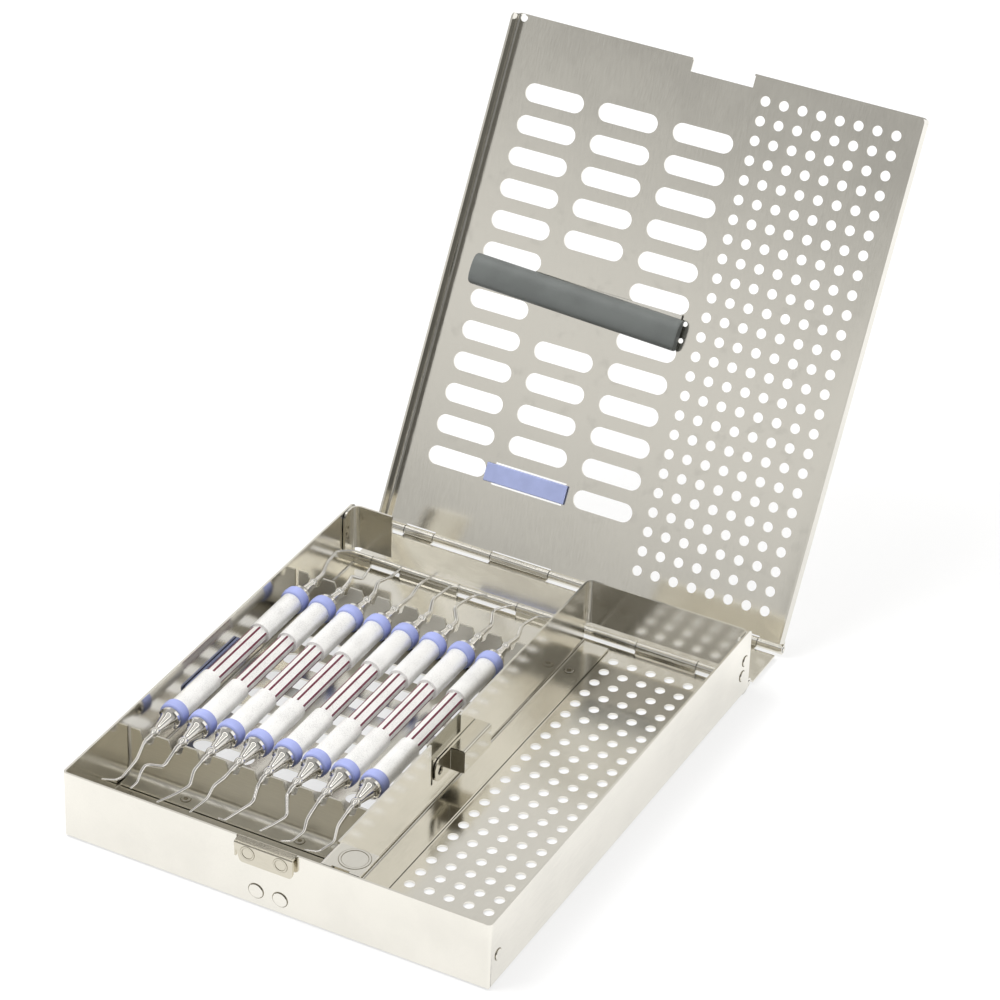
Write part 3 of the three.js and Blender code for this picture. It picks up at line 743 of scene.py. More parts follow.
@dataclass(frozen=True)
class Finishes:
    """Every finish of the object, made once."""

    tray: bpy.types.Material
    tray_walls: bpy.types.Material
    lid: bpy.types.Material
    spring: bpy.types.Material
    chrome: bpy.types.Material
    handle: bpy.types.Material
    blue_silicone: bpy.types.Material
    blue_plastic: bpy.types.Material
    grey_silicone: bpy.types.Material
    wine_paint: bpy.types.Material
    latch: bpy.types.Material
    clip: bpy.types.Material
    seam: bpy.types.Material
    shade_backing: bpy.types.Material
    rack: bpy.types.Material

    @staticmethod
    def made() -> "Finishes":
        """Returns the set of finishes."""
        return Finishes(
            tray=BrushedSteel("tray_steel", Axis.Y).material(),
            tray_walls=BrushedSteel("upright_steel", Axis.X).material(),
            lid=BrushedSteel("lid_steel", Axis.Y, lean=LID_LEAN).material(),
            spring=BrushedSteel("spring_steel", Axis.X, (0.88, 0.86, 0.80), 0.13).material(),
            chrome=Chrome().material(),
            handle=SatinHandle().material(),
            blue_silicone=Polymer("blue_silicone", (0.31, 0.35, 0.63), 0.5).material(),
            blue_plastic=Polymer("blue_label_plastic", (0.34, 0.385, 0.62), 0.42).material(),
            grey_silicone=Polymer("grey_silicone", (0.135, 0.145, 0.14), 0.46).material(),
            wine_paint=Polymer("wine_paint", (0.13, 0.010, 0.035), 0.35).material(),
            # The latch's darker colour is a painted dark reflection of its surroundings
            latch=BrushedSteel("latch_steel", Axis.X, (0.66, 0.62, 0.52), 0.14).material(),
            # The clip's darker colour is partly its own darker steel and partly painted shade
            clip=BrushedSteel("clip_steel", Axis.Y, (0.74, 0.71, 0.62), 0.16).material(),
            # Dark lines of painted shade, with some grime at the rivets
            seam=ShadeAndGrimeSteel().material(),
            rack=BrushedSteel("rack_steel", Axis.X, (0.80, 0.775, 0.70), 0.34).material(),
            # The backing's dark colour is painted shade behind the divider's cut
            shade_backing=BrushedSteel("backing_steel", Axis.Z, (0.46, 0.44, 0.36), 0.24).material(),
        )


# Sizes that several sub-assemblies share


@dataclass(frozen=True)
class Gauge:
    """Sheet thicknesses, bends and clearances."""

    sheet: float = 0.8
    thin: float = 0.6
    gap: float = 0.3
    bend: float = 1.6
    margin: float = 2.0

    @property
    def half(self) -> float:
        """Half of the sheet's thickness."""
        return self.sheet / 2


@dataclass(frozen=True)
class Hinges:
    """The two piano hinges: their axes, knuckles and pins."""

    lower_y: float = 102.5
    upper_y: float = 128.5
    z: float = 2.9
    radius: float = 1.9
    pin: float = 0.75
    bore: float = 1.05
    edges: tuple[float, ...] = (12.77, 38.3, 63.83, 76.59)
    gap: float = 0.3
    lower_end: float = 85.0
    upper_end: float = 87.1
    plate_gap: float = 0.5
    flap_gap: float = 1.5
    sides: int = 28

    @property
    def plate_start(self) -> float:
        """How far from its pin the lid's plate begins."""
        return self.radius + self.plate_gap

    @property
    def flap_start(self) -> float:
        """How far from each pin the flap's plate begins."""
        return self.radius + self.flap_gap

    def ranges(self, parity: int, end: float) -> list[Point]:
        """Returns the stretches of every second knuckle along a hinge.

        Args:
            parity: 0 for the first, third and so on, 1 for the others.
            end: Half the hinge's length.
        """
        edges = [-end, *(-edge for edge in self.edges[::-1]), *self.edges, end]
        spans = zip(edges[parity::2], edges[parity + 1 :: 2])
        return [(a + self.gap / 2, b - self.gap / 2) for a, b in spans]

    def drill(self, span: Point, y: float, z: float) -> Solid:
        """Returns the body that cuts one knuckle's bore."""
        start, end = span
        return prism(Axis.X, polygon(y, z, self.bore, self.sides), start - OVERRUN, end + OVERRUN)

    def barrel(self, span: Point, y: float, z: float) -> Solid:
        """Returns one knuckle, with its bore."""
        return prism(Axis.X, polygon(y, z, self.radius, self.sides), *span) - self.drill(span, y, z)

    def wire(self, y: float, z: float, end: float) -> Solid:
        """Returns a pin."""
        return prism(Axis.X, polygon(y, z, self.pin, self.sides), -end, end)


@dataclass(frozen=True)
class HoleGrid:
    """A regular grid of round holes."""

    x: float
    y: float
    pitch: float
    columns: int
    rows: int
    diameter: float = 4.0
    sides: int = 24

    def outlines(self) -> list[Outline]:
        """Returns the outline of each hole."""
        xs = [self.x + self.pitch * column for column in range(self.columns)]
        ys = [self.y + self.pitch * row for row in range(self.rows)]
        return [polygon(x, y, self.diameter / 2, self.sides) for x in xs for y in ys]


def punches(outlines: Iterable[Outline], low: float, high: float) -> Solid:
    """Returns the prisms that cut these outlines out of a level sheet."""
    return Solid.gather(prism(Axis.Z, outline, low, high) for outline in outlines)


def head(radius: float, height: float, sides: int = 40) -> Solid:
    """Returns a flat rivet head with a small rounded edge, on the y axis, its base at y 0."""
    edge = 0.12
    return revolve([(radius, -SUNK), (radius, height - edge), (radius - edge, height)], sides)


def band(radius: float, width: float, height: float, sides: int = 48) -> Solid:
    """Returns a flat ring about the y axis, its base just under y 0, with this middle radius."""
    outer, inner = radius + width / 2, radius - width / 2
    ring = revolve([(outer, -SUNK), (outer, height)], sides)
    return ring - revolve([(inner, -OVERRUN), (inner, height + OVERRUN)], sides)


# What the sub-assemblies have in common


@dataclass
class Assembly:
    """A sub-assembly: its finishes, the sizes that it shares, and the body that it rides on."""

    body: ClassVar[str]
    finishes: Finishes
    gauge: Gauge = field(default_factory=Gauge)
    hinges: Hinges = field(default_factory=Hinges)

    @property
    def place(self) -> Place:
        """The body, and where the pieces' own axes lie: here they are the whole object's."""
        return Place(self.body)

    def add(
        self, name: str, solid: Solid, finish: bpy.types.Material, slot: str, *stands_for: str
    ) -> None:
        """Adds a piece that rides on the sub-assembly's body."""
        show(name, solid, finish, self.place, stands_for)


# The tray


@dataclass
class Tray(Assembly):
    """The pan, its corner bracket, divider, clip, racks, label strip, rivets and dark lines of
    painted shade.
    """

    body: ClassVar[str] = "tray"
    width: float = 170.2
    depth: float = 203.2
    height: float = 27.9
    tip_radius: float = 2.3
    latch_notch: tuple[float, float, float] = (-13.9, 9.9, 2.9)
    floor_holes: HoleGrid = HoleGrid(33.9, -88.36, 7.82, 6, 24)
    slot_columns: tuple[float, ...] = (-62.3, -30.4, 1.65)
    slot_length: float = 25.0
    slot_width: float = 7.0
    slot_first: float = -31.5
    slot_pitch: float = 12.72
    slot_rows: int = 7
    rear_inset: float = 1.4
    wing_bottom: float = 9.2
    wing_inset: float = 1.3
    wing_leg: float = 8.0
    wing_radius: float = 3.0
    bracket_width: float = 16.7
    bracket_bend: float = 3.0
    divider_x: float = 18.1
    foot: float = 10.5
    foot_end: float = 97.0
    cut: tuple[float, float, float] = (-21.3, -1.0, 7.2)
    slit: Point = (-22.5, 10.0)
    front_rack_y: float = -59.5
    rear_rack_y: float = 57.7
    rack_height: float = 21.5
    rack_foot: float = 8.0
    rack_bend: float = 3.6
    notch_half: float = 2.6
    notch_top_half: float = 3.4
    notch_floor: float = 17.0
    front_wall_rivets: tuple[Point, ...] = ((-6.2, 6.8), (3.4, 6.7))
    right_wall_rivets: tuple[Point, ...] = ((97.1, 16.0), (95.3, 10.3), (-95.8, 12.2))
    floor_rivets: tuple[Point, ...] = ((22.9, 76.4), (-58.2, -64.0), (-10.7, -64.6))
    side_head: float = 2.0
    front_head: float = 2.8
    floor_head: float = 1.7
    head_height: float = 0.4
    tab_ring: Point = (27.8, -92.8)
    leg_stamps: tuple[Point, ...] = ((94.4, 20.7), (93.2, 18.4), (94.2, 15.8))

    def build(self) -> None:
        """Adds every piece of the tray."""
        finishes, hinge = self.finishes, self.hinges
        sheet, spring = "brushed_steel", "spring_steel"
        self.add("tray", self.pan(), finishes.tray, sheet, "tray_pan")
        self.add("corner_bracket", self.bracket(), finishes.tray_walls, sheet, "left_corner_bracket")
        self.add("instrument_divider", self.divider(), finishes.tray, sheet, "divider")
        # A dark plate of painted shade behind the divider's cut and slit
        self.add("cut_backing", self.shade_backing(), finishes.shade_backing, sheet)
        self.add("clip_box", self.clip(), finishes.clip, spring, "divider_clip")
        for end, y, side in (("front", self.front_rack_y, -1), ("rear", self.rear_rack_y, 1)):
            self.add(f"{end}_notched_rack", self.rack(y, side), finishes.rack, sheet, f"{end}_rack")
        pin = hinge.wire(hinge.lower_y, hinge.z, hinge.lower_end)
        self.add("lower_pin", pin, finishes.spring, spring, "lower_hinge_pin")
        label, plastic = self.wall_label(), finishes.blue_plastic
        self.add("wall_label", label, plastic, "blue_plastic", "wall_id_strip")
        self.add("tray_rivets", self.rivets(), finishes.tray_walls, spring)
        # Dark lines of painted shade around rivets, rings, the clip and the foot's bend
        self.add("tray_seams", self.shade_lines(), finishes.seam, spring)

    @property
    def inner_x(self) -> float:
        """The inner face of a side wall."""
        return self.width / 2 - self.gauge.sheet

    @property
    def inner_y(self) -> float:
        """The inner face of the front wall, from the middle."""
        return self.depth / 2 - self.gauge.sheet

    def shell(self, inset: float, floor: float, top: float, rear: float, tip: float) -> Solid:
        """Returns the pan's outer or inner body: three outlines crossed, each with its bends.

        Args:
            inset: How far inside the outer face it lies.
            floor: Its lowest z.
            top: Its highest z.
            rear: Its rear y.
            tip: Radius of the side walls' rear upper corners.
        """
        side = self.width / 2 - inset
        front = -self.depth / 2 + inset
        radius = self.gauge.bend - inset
        plan = rounded_rectangle(-side, side, front, rear, [radius, radius, 0, 0])
        across = rounded_rectangle(-side, side, floor, top, [radius, radius, 0, 0])
        along = rounded_rectangle(front, rear, floor, top, [radius, 0, tip, 0])
        body = prism(Axis.Z, plan, floor, top)
        body &= prism(Axis.Y, across, front - OVERRUN, rear + OVERRUN)
        return body & prism(Axis.X, along, -side - OVERRUN, side + OVERRUN)

    def pan(self) -> Solid:
        """Returns the folded sheet with its floor pattern, latch notch and knuckles."""
        sheet, margin = self.gauge.sheet, self.gauge.margin
        rear = self.depth / 2
        floor_rear = rear - self.rear_inset
        low, high, deep = self.latch_notch
        outlines = self.floor_holes.outlines()
        for x in self.slot_columns:
            for row in range(self.slot_rows):
                y = self.slot_first + self.slot_pitch * row
                outlines.append(slot_outline(x, y, self.slot_length, self.slot_width))
        hinge = self.hinges
        relief = polygon(hinge.lower_y, hinge.z, hinge.plate_start, hinge.sides)
        body = self.shell(0, 0, self.height, rear, self.tip_radius)
        body -= self.shell(sheet, sheet, self.height + margin, rear + margin, 0)
        body -= block(-self.inner_x, self.inner_x, floor_rear, rear + margin, -sheet, hinge.z)
        body -= prism(Axis.X, relief, -self.inner_x, self.inner_x)
        body -= punches(outlines, -sheet, 2 * sheet)
        notch_rear = -self.inner_y + self.gauge.half
        body -= block(low, high, -self.depth, notch_rear, self.height - deep, self.height + margin)
        for span in hinge.ranges(0, hinge.lower_end):
            body += self.knuckle_web(span, floor_rear)
            body += hinge.barrel(span, hinge.lower_y, hinge.z)
        return body

    def knuckle_web(self, span: Point, floor_rear: float) -> Solid:
        """Returns the tongue between the floor's rear edge and one knuckle."""
        hinge = self.hinges
        foot = floor_rear - self.gauge.margin
        tip = hinge.lower_y - (hinge.bore + hinge.radius) / 2
        outline = [
            (foot, 0), (floor_rear, 0), (hinge.lower_y - self.gauge.half, hinge.z - hinge.radius),
            (tip, hinge.z), (floor_rear, self.gauge.sheet), (foot, self.gauge.sheet),
        ]
        return prism(Axis.X, outline, *span) - hinge.drill(span, hinge.lower_y, hinge.z)

    def wing(self, inner_x: float, side: int, radius: float) -> Solid:
        """Returns a plate across a rear corner, folded forward along the side wall.

        Args:
            inner_x: Where the plate ends toward the middle.
            side: -1 for the left corner and 1 for the right one.
            radius: Bend radius of the fold.
        """
        y = self.depth / 2 - self.wing_inset - self.gauge.half
        x = side * (self.inner_x - self.gauge.gap - self.gauge.half)
        line = [(inner_x, y), (x, y), (x, y - self.wing_leg)]
        low, high = self.wing_bottom, self.height
        body = prism(Axis.Z, sheet_section(line, radius, self.gauge.sheet), low, high)
        radii = [self.wing_radius, 0, 0, self.wing_radius]
        outline = rounded_rectangle(y - self.wing_leg, y + self.gauge.half, low, high, radii)
        return body & prism(Axis.X, outline, -self.width, self.width)

    def bracket(self) -> Solid:
        """Returns the left rear corner bracket."""
        x = -(self.inner_x - self.gauge.gap - self.gauge.half)
        return self.wing(x + self.bracket_width, -1, self.bracket_bend)

    def divider(self) -> Solid:
        """Returns the divider: wall, foot, front tab with its folded edge, and the wing behind."""
        g = self.gauge
        front = -self.inner_y + g.gap
        left, right = self.divider_x - g.half, self.divider_x + g.half
        tab_z = self.height - g.half
        stand = g.sheet + g.gap + g.half
        fold, tab_depth, tab_length, inset = 5.5, 13.3, 15.5, 2.5
        slot, slot_depth = 7.0, 2.4
        corner_bend, corner_reach = 2.5, 6.0
        ring_radius, ring_width, ring_height = 5.22, 0.72, 0.12
        wing_y = self.depth / 2 - self.wing_inset - g.half
        x = self.divider_x
        foot = [(right + self.foot, stand), (x, stand), (x, self.wing_bottom + g.bend)]
        tab = [(x, tab_z - fold), (x, tab_z), (right + tab_length, tab_z)]
        lip = [(front + tab_depth, tab_z), (front + g.half, tab_z), (front + g.half, tab_z - fold)]
        corner = [(x, 0), (x, wing_y), (x + corner_reach, wing_y)]
        fold_from, fold_to = right + inset, right + tab_length - inset
        middle = (fold_from + fold_to) / 2
        body = block(left, right, front, self.foot_end, self.wing_bottom, self.height - fold)
        body += block(left, right, front + tab_depth, self.foot_end, self.wing_bottom, self.height)
        body += prism(Axis.Y, sheet_section(foot, g.bend, g.sheet), front, self.foot_end)
        body += prism(Axis.Y, sheet_section(tab, g.bend, g.sheet), front, front + tab_depth)
        body += prism(Axis.X, sheet_section(lip, g.bend, g.sheet), fold_from, fold_to)
        bent = sheet_section(corner, corner_bend, g.sheet)
        body += prism(Axis.Z, bent, self.wing_bottom, self.height)
        body += self.wing(self.divider_x + corner_bend + g.sheet, 1, g.bend)
        top = self.height + g.margin
        through = (left - OVERRUN, right + OVERRUN)
        cut_from, cut_to, cut_depth = self.cut
        slit_from, slit_bottom = self.slit
        body -= block(*through, cut_from, cut_to, self.height - cut_depth, top)
        body -= block(*through, slit_from, cut_from, slit_bottom, top)
        opening = (middle - slot / 2, middle + slot / 2)
        body -= block(*opening, front - OVERRUN, front + g.sheet, tab_z - slot_depth, top)
        ring = band(ring_radius, ring_width, ring_height).moved(rotation(Axis.X, 90))
        body += ring.moved(shift(*self.tab_ring, self.height))
        return body

    def shade_backing(self) -> Solid:
        """Returns the plate that closes the divider's cut and slit from behind, dark with painted
        shade.
        """
        front, cut_rear, slit_rear = -23.5, 1.0, -20.3
        bottom, cut_bottom, slit_top, recess = 9.6, 18.0, 19.0, 0.05
        face = self.divider_x - self.gauge.half
        back = face - self.gauge.thin
        upper = block(back, face, front, cut_rear, cut_bottom, self.height - recess)
        return upper + block(back, face, front, slit_rear, bottom, slit_top)

    def clip(self) -> Solid:
        """Returns the small folded box with its ear on the divider."""
        g = self.gauge
        bottom, height, width = 9.7, 9.5, 6.2
        ear_from, box_from, box_to = -21.0, -9.7, 10.5
        ear_corner = 4.0
        hole_y, hole_z, hole_radius = -17.1, 14.0, 1.8
        top = bottom + height
        face = self.divider_x + g.half + g.gap
        middle, outer = face + g.thin / 2, face + width
        near, far = box_from + g.thin / 2, outer - g.thin / 2
        line = [(middle, box_from - g.sheet), (middle, near), (far, near), (far, box_to)]
        lip = [(face, top - g.thin / 2), (far, top - g.thin / 2), (far, bottom)]
        outline = rounded_rectangle(ear_from, near, bottom, top, [ear_corner, 0, 0, ear_corner])
        hole = polygon(hole_y, hole_z, hole_radius, HOLE_SIDES)
        ear = prism(Axis.X, outline, face, face + g.thin)
        ear -= prism(Axis.X, hole, face - OVERRUN, face + g.thin + OVERRUN)
        body = ear + prism(Axis.Z, sheet_section(line, g.thin, g.thin), bottom, top - g.thin)
        return body + prism(Axis.Y, sheet_section(lip, g.thin, g.thin), near, box_to)

    def rack(self, y: float, foot_side: int) -> Solid:
        """Returns one notched rack.

        Args:
            y: The upright's middle.
            foot_side: The side to which its foot points.
        """
        g = self.gauge
        wall_gap, divider_gap = 0.8, 1.6
        stand = g.sheet + g.gap + g.half
        left = -self.inner_x + wall_gap
        right = self.divider_x - g.half - divider_gap
        line = [(y + foot_side * self.rack_foot, stand), (y, stand), (y, self.rack_height)]
        notches = [
            prism(Axis.Y, self.notch(Instruments.x_of(number)), y - g.margin, y + g.margin)
            for number in range(Instruments.count)
        ]
        body = prism(Axis.X, sheet_section(line, self.rack_bend, g.sheet), left, right)
        return body - Solid.gather(notches)

    def notch(self, x: float) -> Outline:
        """Returns the outline of one instrument's seat."""
        seat = self.notch_floor + self.notch_half - self.gauge.gap
        steps = 16
        arc = [math.pi + math.pi * step / steps for step in range(steps + 1)]
        top, lip = self.rack_height + self.gauge.margin, self.rack_height
        half, wide = self.notch_half, self.notch_top_half
        bowl = [(x + half * math.cos(a), seat + half * math.sin(a)) for a in arc]
        return [(x + wide, lip), (x + wide, top), (x - wide, top), (x - wide, lip), *bowl]

    def wall_label(self) -> Solid:
        """Returns the plain label strip on the left wall."""
        front, rear, bottom, top = -23.5, 14.3, 9.0, 17.0
        corner, thick = 1.0, 0.8
        face = -self.inner_x + self.gauge.gap
        outline = rounded_rectangle(front, rear, bottom, top, [corner] * 4)
        return prism(Axis.X, outline, face, face + thick)

    def seats(self) -> list[tuple[Matrix, float]]:
        """Returns where each rivet head stands, with its y axis outward, and its radius."""
        outward, forward, upward = rotation(Axis.Z, -90), rotation(Axis.Z, 180), rotation(Axis.X, 90)
        side, front = self.width / 2, -self.depth / 2
        foot_top = 2 * self.gauge.sheet + self.gauge.gap
        seats = [(shift(side, y, z) @ outward, self.side_head) for y, z in self.right_wall_rivets]
        seats += [(shift(x, front, z) @ forward, self.front_head) for x, z in self.front_wall_rivets]
        seats += [(shift(x, y, foot_top) @ upward, self.floor_head) for x, y in self.floor_rivets]
        return seats

    def rivets(self) -> Solid:
        """Returns the rivet heads on the right and front walls and in the two feet."""
        height = self.head_height
        return Solid.gather(head(radius, height).moved(seat) for seat, radius in self.seats())

    def shade_lines(self) -> Solid:
        """Returns the dark lines of painted shade at the rivets, the tab's ring, the clip and the
        foot's bend, with some grime at the rivets.
        """
        around, line, proud = 0.2, 0.26, 0.06
        hollow, hollow_low, hollow_high = 0.85, 0.35, 0.46
        ring_radii, ring_line, ring_proud = (4.75, 5.7), 0.22, 0.03
        clip_face = (0.7, 6.1, -9.76, -9.6, 9.9, 18.9)
        bend_x, bend_z, bend_radius, bend_sides, bend_start = 0.78, 2.27, 0.17, 10, 1.2
        stamp = 0.5
        seats = self.seats()
        # Painted shade, with some grime, in a dark ring around each rivet head
        made = [band(radius + around, line, proud).moved(seat) for seat, radius in seats]
        # Painted shade: a dark disc in each floor rivet, where its bore lies in shadow
        profile = [(hollow, hollow_low), (hollow, hollow_high)]
        floor_seats = seats[-len(self.floor_rivets):]
        hollows = [revolve(profile, HOLE_SIDES).moved(seat) for seat, _ in floor_seats]
        top = shift(*self.tab_ring, self.height) @ rotation(Axis.X, 90)
        outer = self.divider_x + self.gauge.half + self.gauge.gap
        # A painted dark reflection over the clip's front face
        front = block(outer + clip_face[0], outer + clip_face[1], *clip_face[2:])
        # Painted shade along the inside of the divider foot's bend
        section = polygon(self.divider_x + bend_x, bend_z, bend_radius, bend_sides)
        bend = prism(Axis.Y, section, -self.inner_y + bend_start, self.foot_end)
        leg = shift(-self.inner_x + self.gauge.gap + self.gauge.sheet, 0, 0)
        mark = revolve([(stamp, -SUNK), (stamp, SUNK)], SMALL_HOLE_SIDES)
        made += [mark.moved(leg @ shift(0, y, z) @ rotation(Axis.Z, -90)) for y, z in self.leg_stamps]
        # Painted shade along the edges of the tab's embossed ring
        rings = [band(radius, ring_line, ring_proud).moved(top) for radius in ring_radii]
        return Solid.gather([*made, front, bend, *hollows, *rings])


# The latch


@dataclass
class Latch(Assembly):
    """The spring leaf inside the front wall and its finger plate outside."""

    body: ClassVar[str] = "latch"
    left: float = -13.6
    right: float = 9.6
    leaf_y: float = -100.2
    top: float = 27.6
    reach: float = 3.45
    drop: float = 0.8
    plate_height: float = 7.6
    taper: float = 2.4
    leaf_bottom: float = 3.0
    cheek: float = 0.75
    buttons: tuple[Point, ...] = ((-8.2, 23.6), (4.9, 23.6))

    def build(self) -> None:
        """Adds the latch."""
        self.add("spring_latch", self.leaf(), self.finishes.latch, "spring_steel", "latch_leaf")
        # Dark lines of painted shade around the latch's embossed rings
        self.add("latch_seams", self.shade_lines(), self.finishes.seam, "spring_steel")

    def leaf(self) -> Solid:
        """Returns the folded leaf with its plate, cheeks and embossed rings."""
        thin, half = self.gauge.thin, self.gauge.thin / 2
        plate_y = self.leaf_y - self.reach
        plate_top = self.top - self.drop
        bottom = plate_top - self.plate_height
        line = [
            (self.leaf_y, self.leaf_bottom), (self.leaf_y, self.top), (plate_y, plate_top),
            (plate_y, plate_top - 2 * self.drop),
        ]
        shoulder, steps = plate_top - self.drop, 8
        ring_radius, ring_width, ring_height = 2.45, 0.55, 0.14
        corners = [
            (self.left, shoulder), (self.left + self.taper, bottom),
            (self.right, bottom), (self.right, shoulder),
        ]
        plate = round_corners(corners, [0, self.gauge.bend, self.gauge.bend, 0], True, steps)
        cheek = rectangle(plate_y, plate_y + self.cheek, bottom + self.gauge.bend, plate_top - thin)
        body = prism(Axis.X, sheet_section(line, thin, thin), self.left, self.right)
        body += prism(Axis.Y, plate, plate_y - half, plate_y + half)
        body += prism(Axis.X, cheek, self.right - thin, self.right)
        body += prism(Axis.X, cheek, self.left, self.left + thin)
        ring = band(ring_radius, ring_width, ring_height).moved(rotation(Axis.Z, 180))
        for x, z in self.buttons:
            body += ring.moved(shift(x, plate_y - half, z))
        return body

    def shade_lines(self) -> Solid:
        """Returns the dark lines of painted shade around the embossed rings."""
        radii, width, height = (2.12, 2.78), 0.2, 0.05
        y = self.leaf_y - self.reach - self.gauge.thin / 2
        return Solid.gather(
            band(radius, width, height).moved(shift(x, y, z) @ rotation(Axis.Z, 180))
            for x, z in self.buttons
            for radius in radii
        )


# The spine flap


@dataclass
class Spine(Assembly):
    """The narrow plate between the two hinges, and the upper pin."""

    body: ClassVar[str] = "spine"
    width: float = 170.4

    def build(self) -> None:
        """Adds the flap and its pin."""
        self.add("spine_plate", self.flap(), self.finishes.tray_walls, "brushed_steel", "spine_flap")
        pin = self.hinges.wire(self.hinges.upper_y, self.hinges.z, self.hinges.upper_end)
        self.add("upper_pin", pin, self.finishes.spring, "spring_steel", "upper_hinge_pin")

    def flap(self) -> Solid:
        """Returns the plate with tongues and knuckles on both edges."""
        hinge = self.hinges
        low = hinge.z - hinge.radius
        high = low + self.gauge.sheet
        near, far = hinge.lower_y + hinge.flap_start, hinge.upper_y - hinge.flap_start
        body = block(-self.width / 2, self.width / 2, near, far, low, high)
        for span in hinge.ranges(1, hinge.lower_end):
            body += block(*span, hinge.lower_y, near, low, high)
            body += hinge.barrel(span, hinge.lower_y, hinge.z)
        for span in hinge.ranges(1, hinge.upper_end):
            body += block(*span, far, hinge.upper_y, low, high)
            body += hinge.barrel(span, hinge.upper_y, hinge.z)
        return body


# The lid, drawn flat with its pin at the origin, y along the plate and z to the inner side


@dataclass
class Lid(Assembly):
    """The shallow perforated lid with its hold-down bar, rail and label strip."""

    body: ClassVar[str] = "cover"
    width: float = 174.2
    length: float = 206.75
    lip: float = 5.6
    front_lip: float = 1.1
    notch: tuple[float, float, float] = (-10.9, 15.4, 5.3)
    lean: float = LID_LEAN
    relief: float = 1.5
    relief_inset: float = 3.1
    relief_gap: float = 0.15
    corner: float = 2.4
    holes: HoleGrid = HoleGrid(21.8, 12.02, 7.733, 8, 25)
    slot_columns: tuple[float, ...] = (-62.8, -30.9, 1.15)
    slot_length: float = 25.4
    slot_width: float = 7.4
    slot_first: float = 31.77
    slot_pitch: float = 12.72
    slot_rows: int = 12
    slot_break: float = 6.36
    rows_below_break: int = 6
    middle_gaps: tuple[int, ...] = (0, 5, 6)
    bar_x: float = -31.15
    bar_s: float = 104.7
    bar_length: float = 90.3
    bar_width: float = 12.4
    bar_tilt: float = -2.15
    bar_base: float = 1.8
    bar_top: float = 6.1
    bar_holes: tuple[Point, ...] = ((14.25, 101.4), (14.25, 108.0))
    bar_hole_radius: float = 1.0
    rail_insets: Point = (2.1, 1.5)
    rail_edges: Point = (99.7, 111.0)
    strip_x: float = -32.15
    strip_s: float = 31.5
    strip_length: float = 35.1
    strip_width: float = 7.4
    strip_folds: Point = (-46.3, -15.9)
    strip_thickness: float = 0.8
    slit_ends: Point = (-46.6, -15.6)
    slit_edges: Point = (1.1, 0.75)

    @property
    def place(self) -> Place:
        """The body, and the lid's own axes, which lean back about its pin."""
        pin = shift(0, self.hinges.upper_y, self.hinges.z)
        return Place(self.body, pin @ rotation(Axis.X, self.lean))

    def build(self) -> None:
        """Adds every piece of the lid."""
        finishes = self.finishes
        self.add("lid_pan", self.pan(), finishes.lid, "brushed_steel", "lid")
        self.add("press_bar", self.bar(), finishes.grey_silicone, "grey_silicone", "hold_down_bar")
        self.add("bar_rail", self.rail(), finishes.spring, "spring_steel", "bar_carrier")
        self.add("lid_label", self.label(), finishes.blue_plastic, "blue_plastic", "lid_id_strip")

    def slots(self) -> list[Outline]:
        """Returns the outlines of the three columns of slots."""
        made = []
        for column, x in enumerate(self.slot_columns):
            for row in range(self.slot_rows):
                if column == 1 and row in self.middle_gaps:
                    continue
                lift = 0.0 if row < self.rows_below_break else self.slot_break
                y = self.slot_first + self.slot_pitch * row + lift
                made.append(slot_outline(x, y, self.slot_length, self.slot_width))
        return made

    def pan(self) -> Solid:
        """Returns the lid's folded sheet."""
        g, hinge = self.gauge, self.hinges
        half, top = self.width / 2, self.lip + g.half
        inside = half - g.sheet
        radii = [g.bend, g.bend, 0, 0]
        inner_radii = [g.bend - g.sheet, g.bend - g.sheet, 0, 0]
        across = rounded_rectangle(-half, half, -g.half, top, radii)
        along = rounded_rectangle(0, self.length, -g.half, top, [0, g.bend, 0, 0])
        plan = rounded_rectangle(-half, half, 0, self.length, [0, 0, self.corner, self.corner])
        hollow = rounded_rectangle(-inside, inside, g.half, top + g.margin, inner_radii)
        body = prism(Axis.Y, across, hinge.plate_start, self.length)
        body &= prism(Axis.X, along, -half - OVERRUN, half + OVERRUN)
        body &= prism(Axis.Z, plan, -g.half - OVERRUN, top + OVERRUN)
        body -= prism(Axis.Y, hollow, 0, self.length - g.sheet)
        past = self.length + g.margin
        lip_top = g.half + self.front_lip
        body -= block(-inside, inside, self.length - 2 * g.sheet, past, lip_top, top + g.margin)
        low, high, deep = self.notch
        relief_y = self.length - self.relief - self.relief_gap
        corner = polygon(-half + self.relief_inset, relief_y, self.relief, HOLE_SIDES)
        outlines = [*self.holes.outlines(), *self.slots(), *self.strip_slits(), corner]
        outlines += [polygon(x, y, self.bar_hole_radius, SMALL_HOLE_SIDES) for x, y in self.bar_holes]
        body -= punches(outlines, -g.sheet, self.front_lip + g.sheet)
        body -= block(low, high, self.length - deep, past, -g.sheet, self.lip)
        tongue = (hinge.bore + hinge.radius) / 2
        for span in hinge.ranges(0, hinge.upper_end):
            body += block(*span, tongue, hinge.plate_start + g.sheet, -g.half, g.half)
            body += hinge.barrel(span, 0, 0)
        return body

    def strip_slits(self) -> list[Outline]:
        """Returns the two slits that the label strip's edges are folded through."""
        inner = self.strip_width / 2 - self.slit_edges[0]
        outer = self.strip_width / 2 + self.slit_edges[1]
        return [
            rectangle(*self.slit_ends, self.strip_s - outer, self.strip_s - inner),
            rectangle(*self.slit_ends, self.strip_s + inner, self.strip_s + outer),
        ]

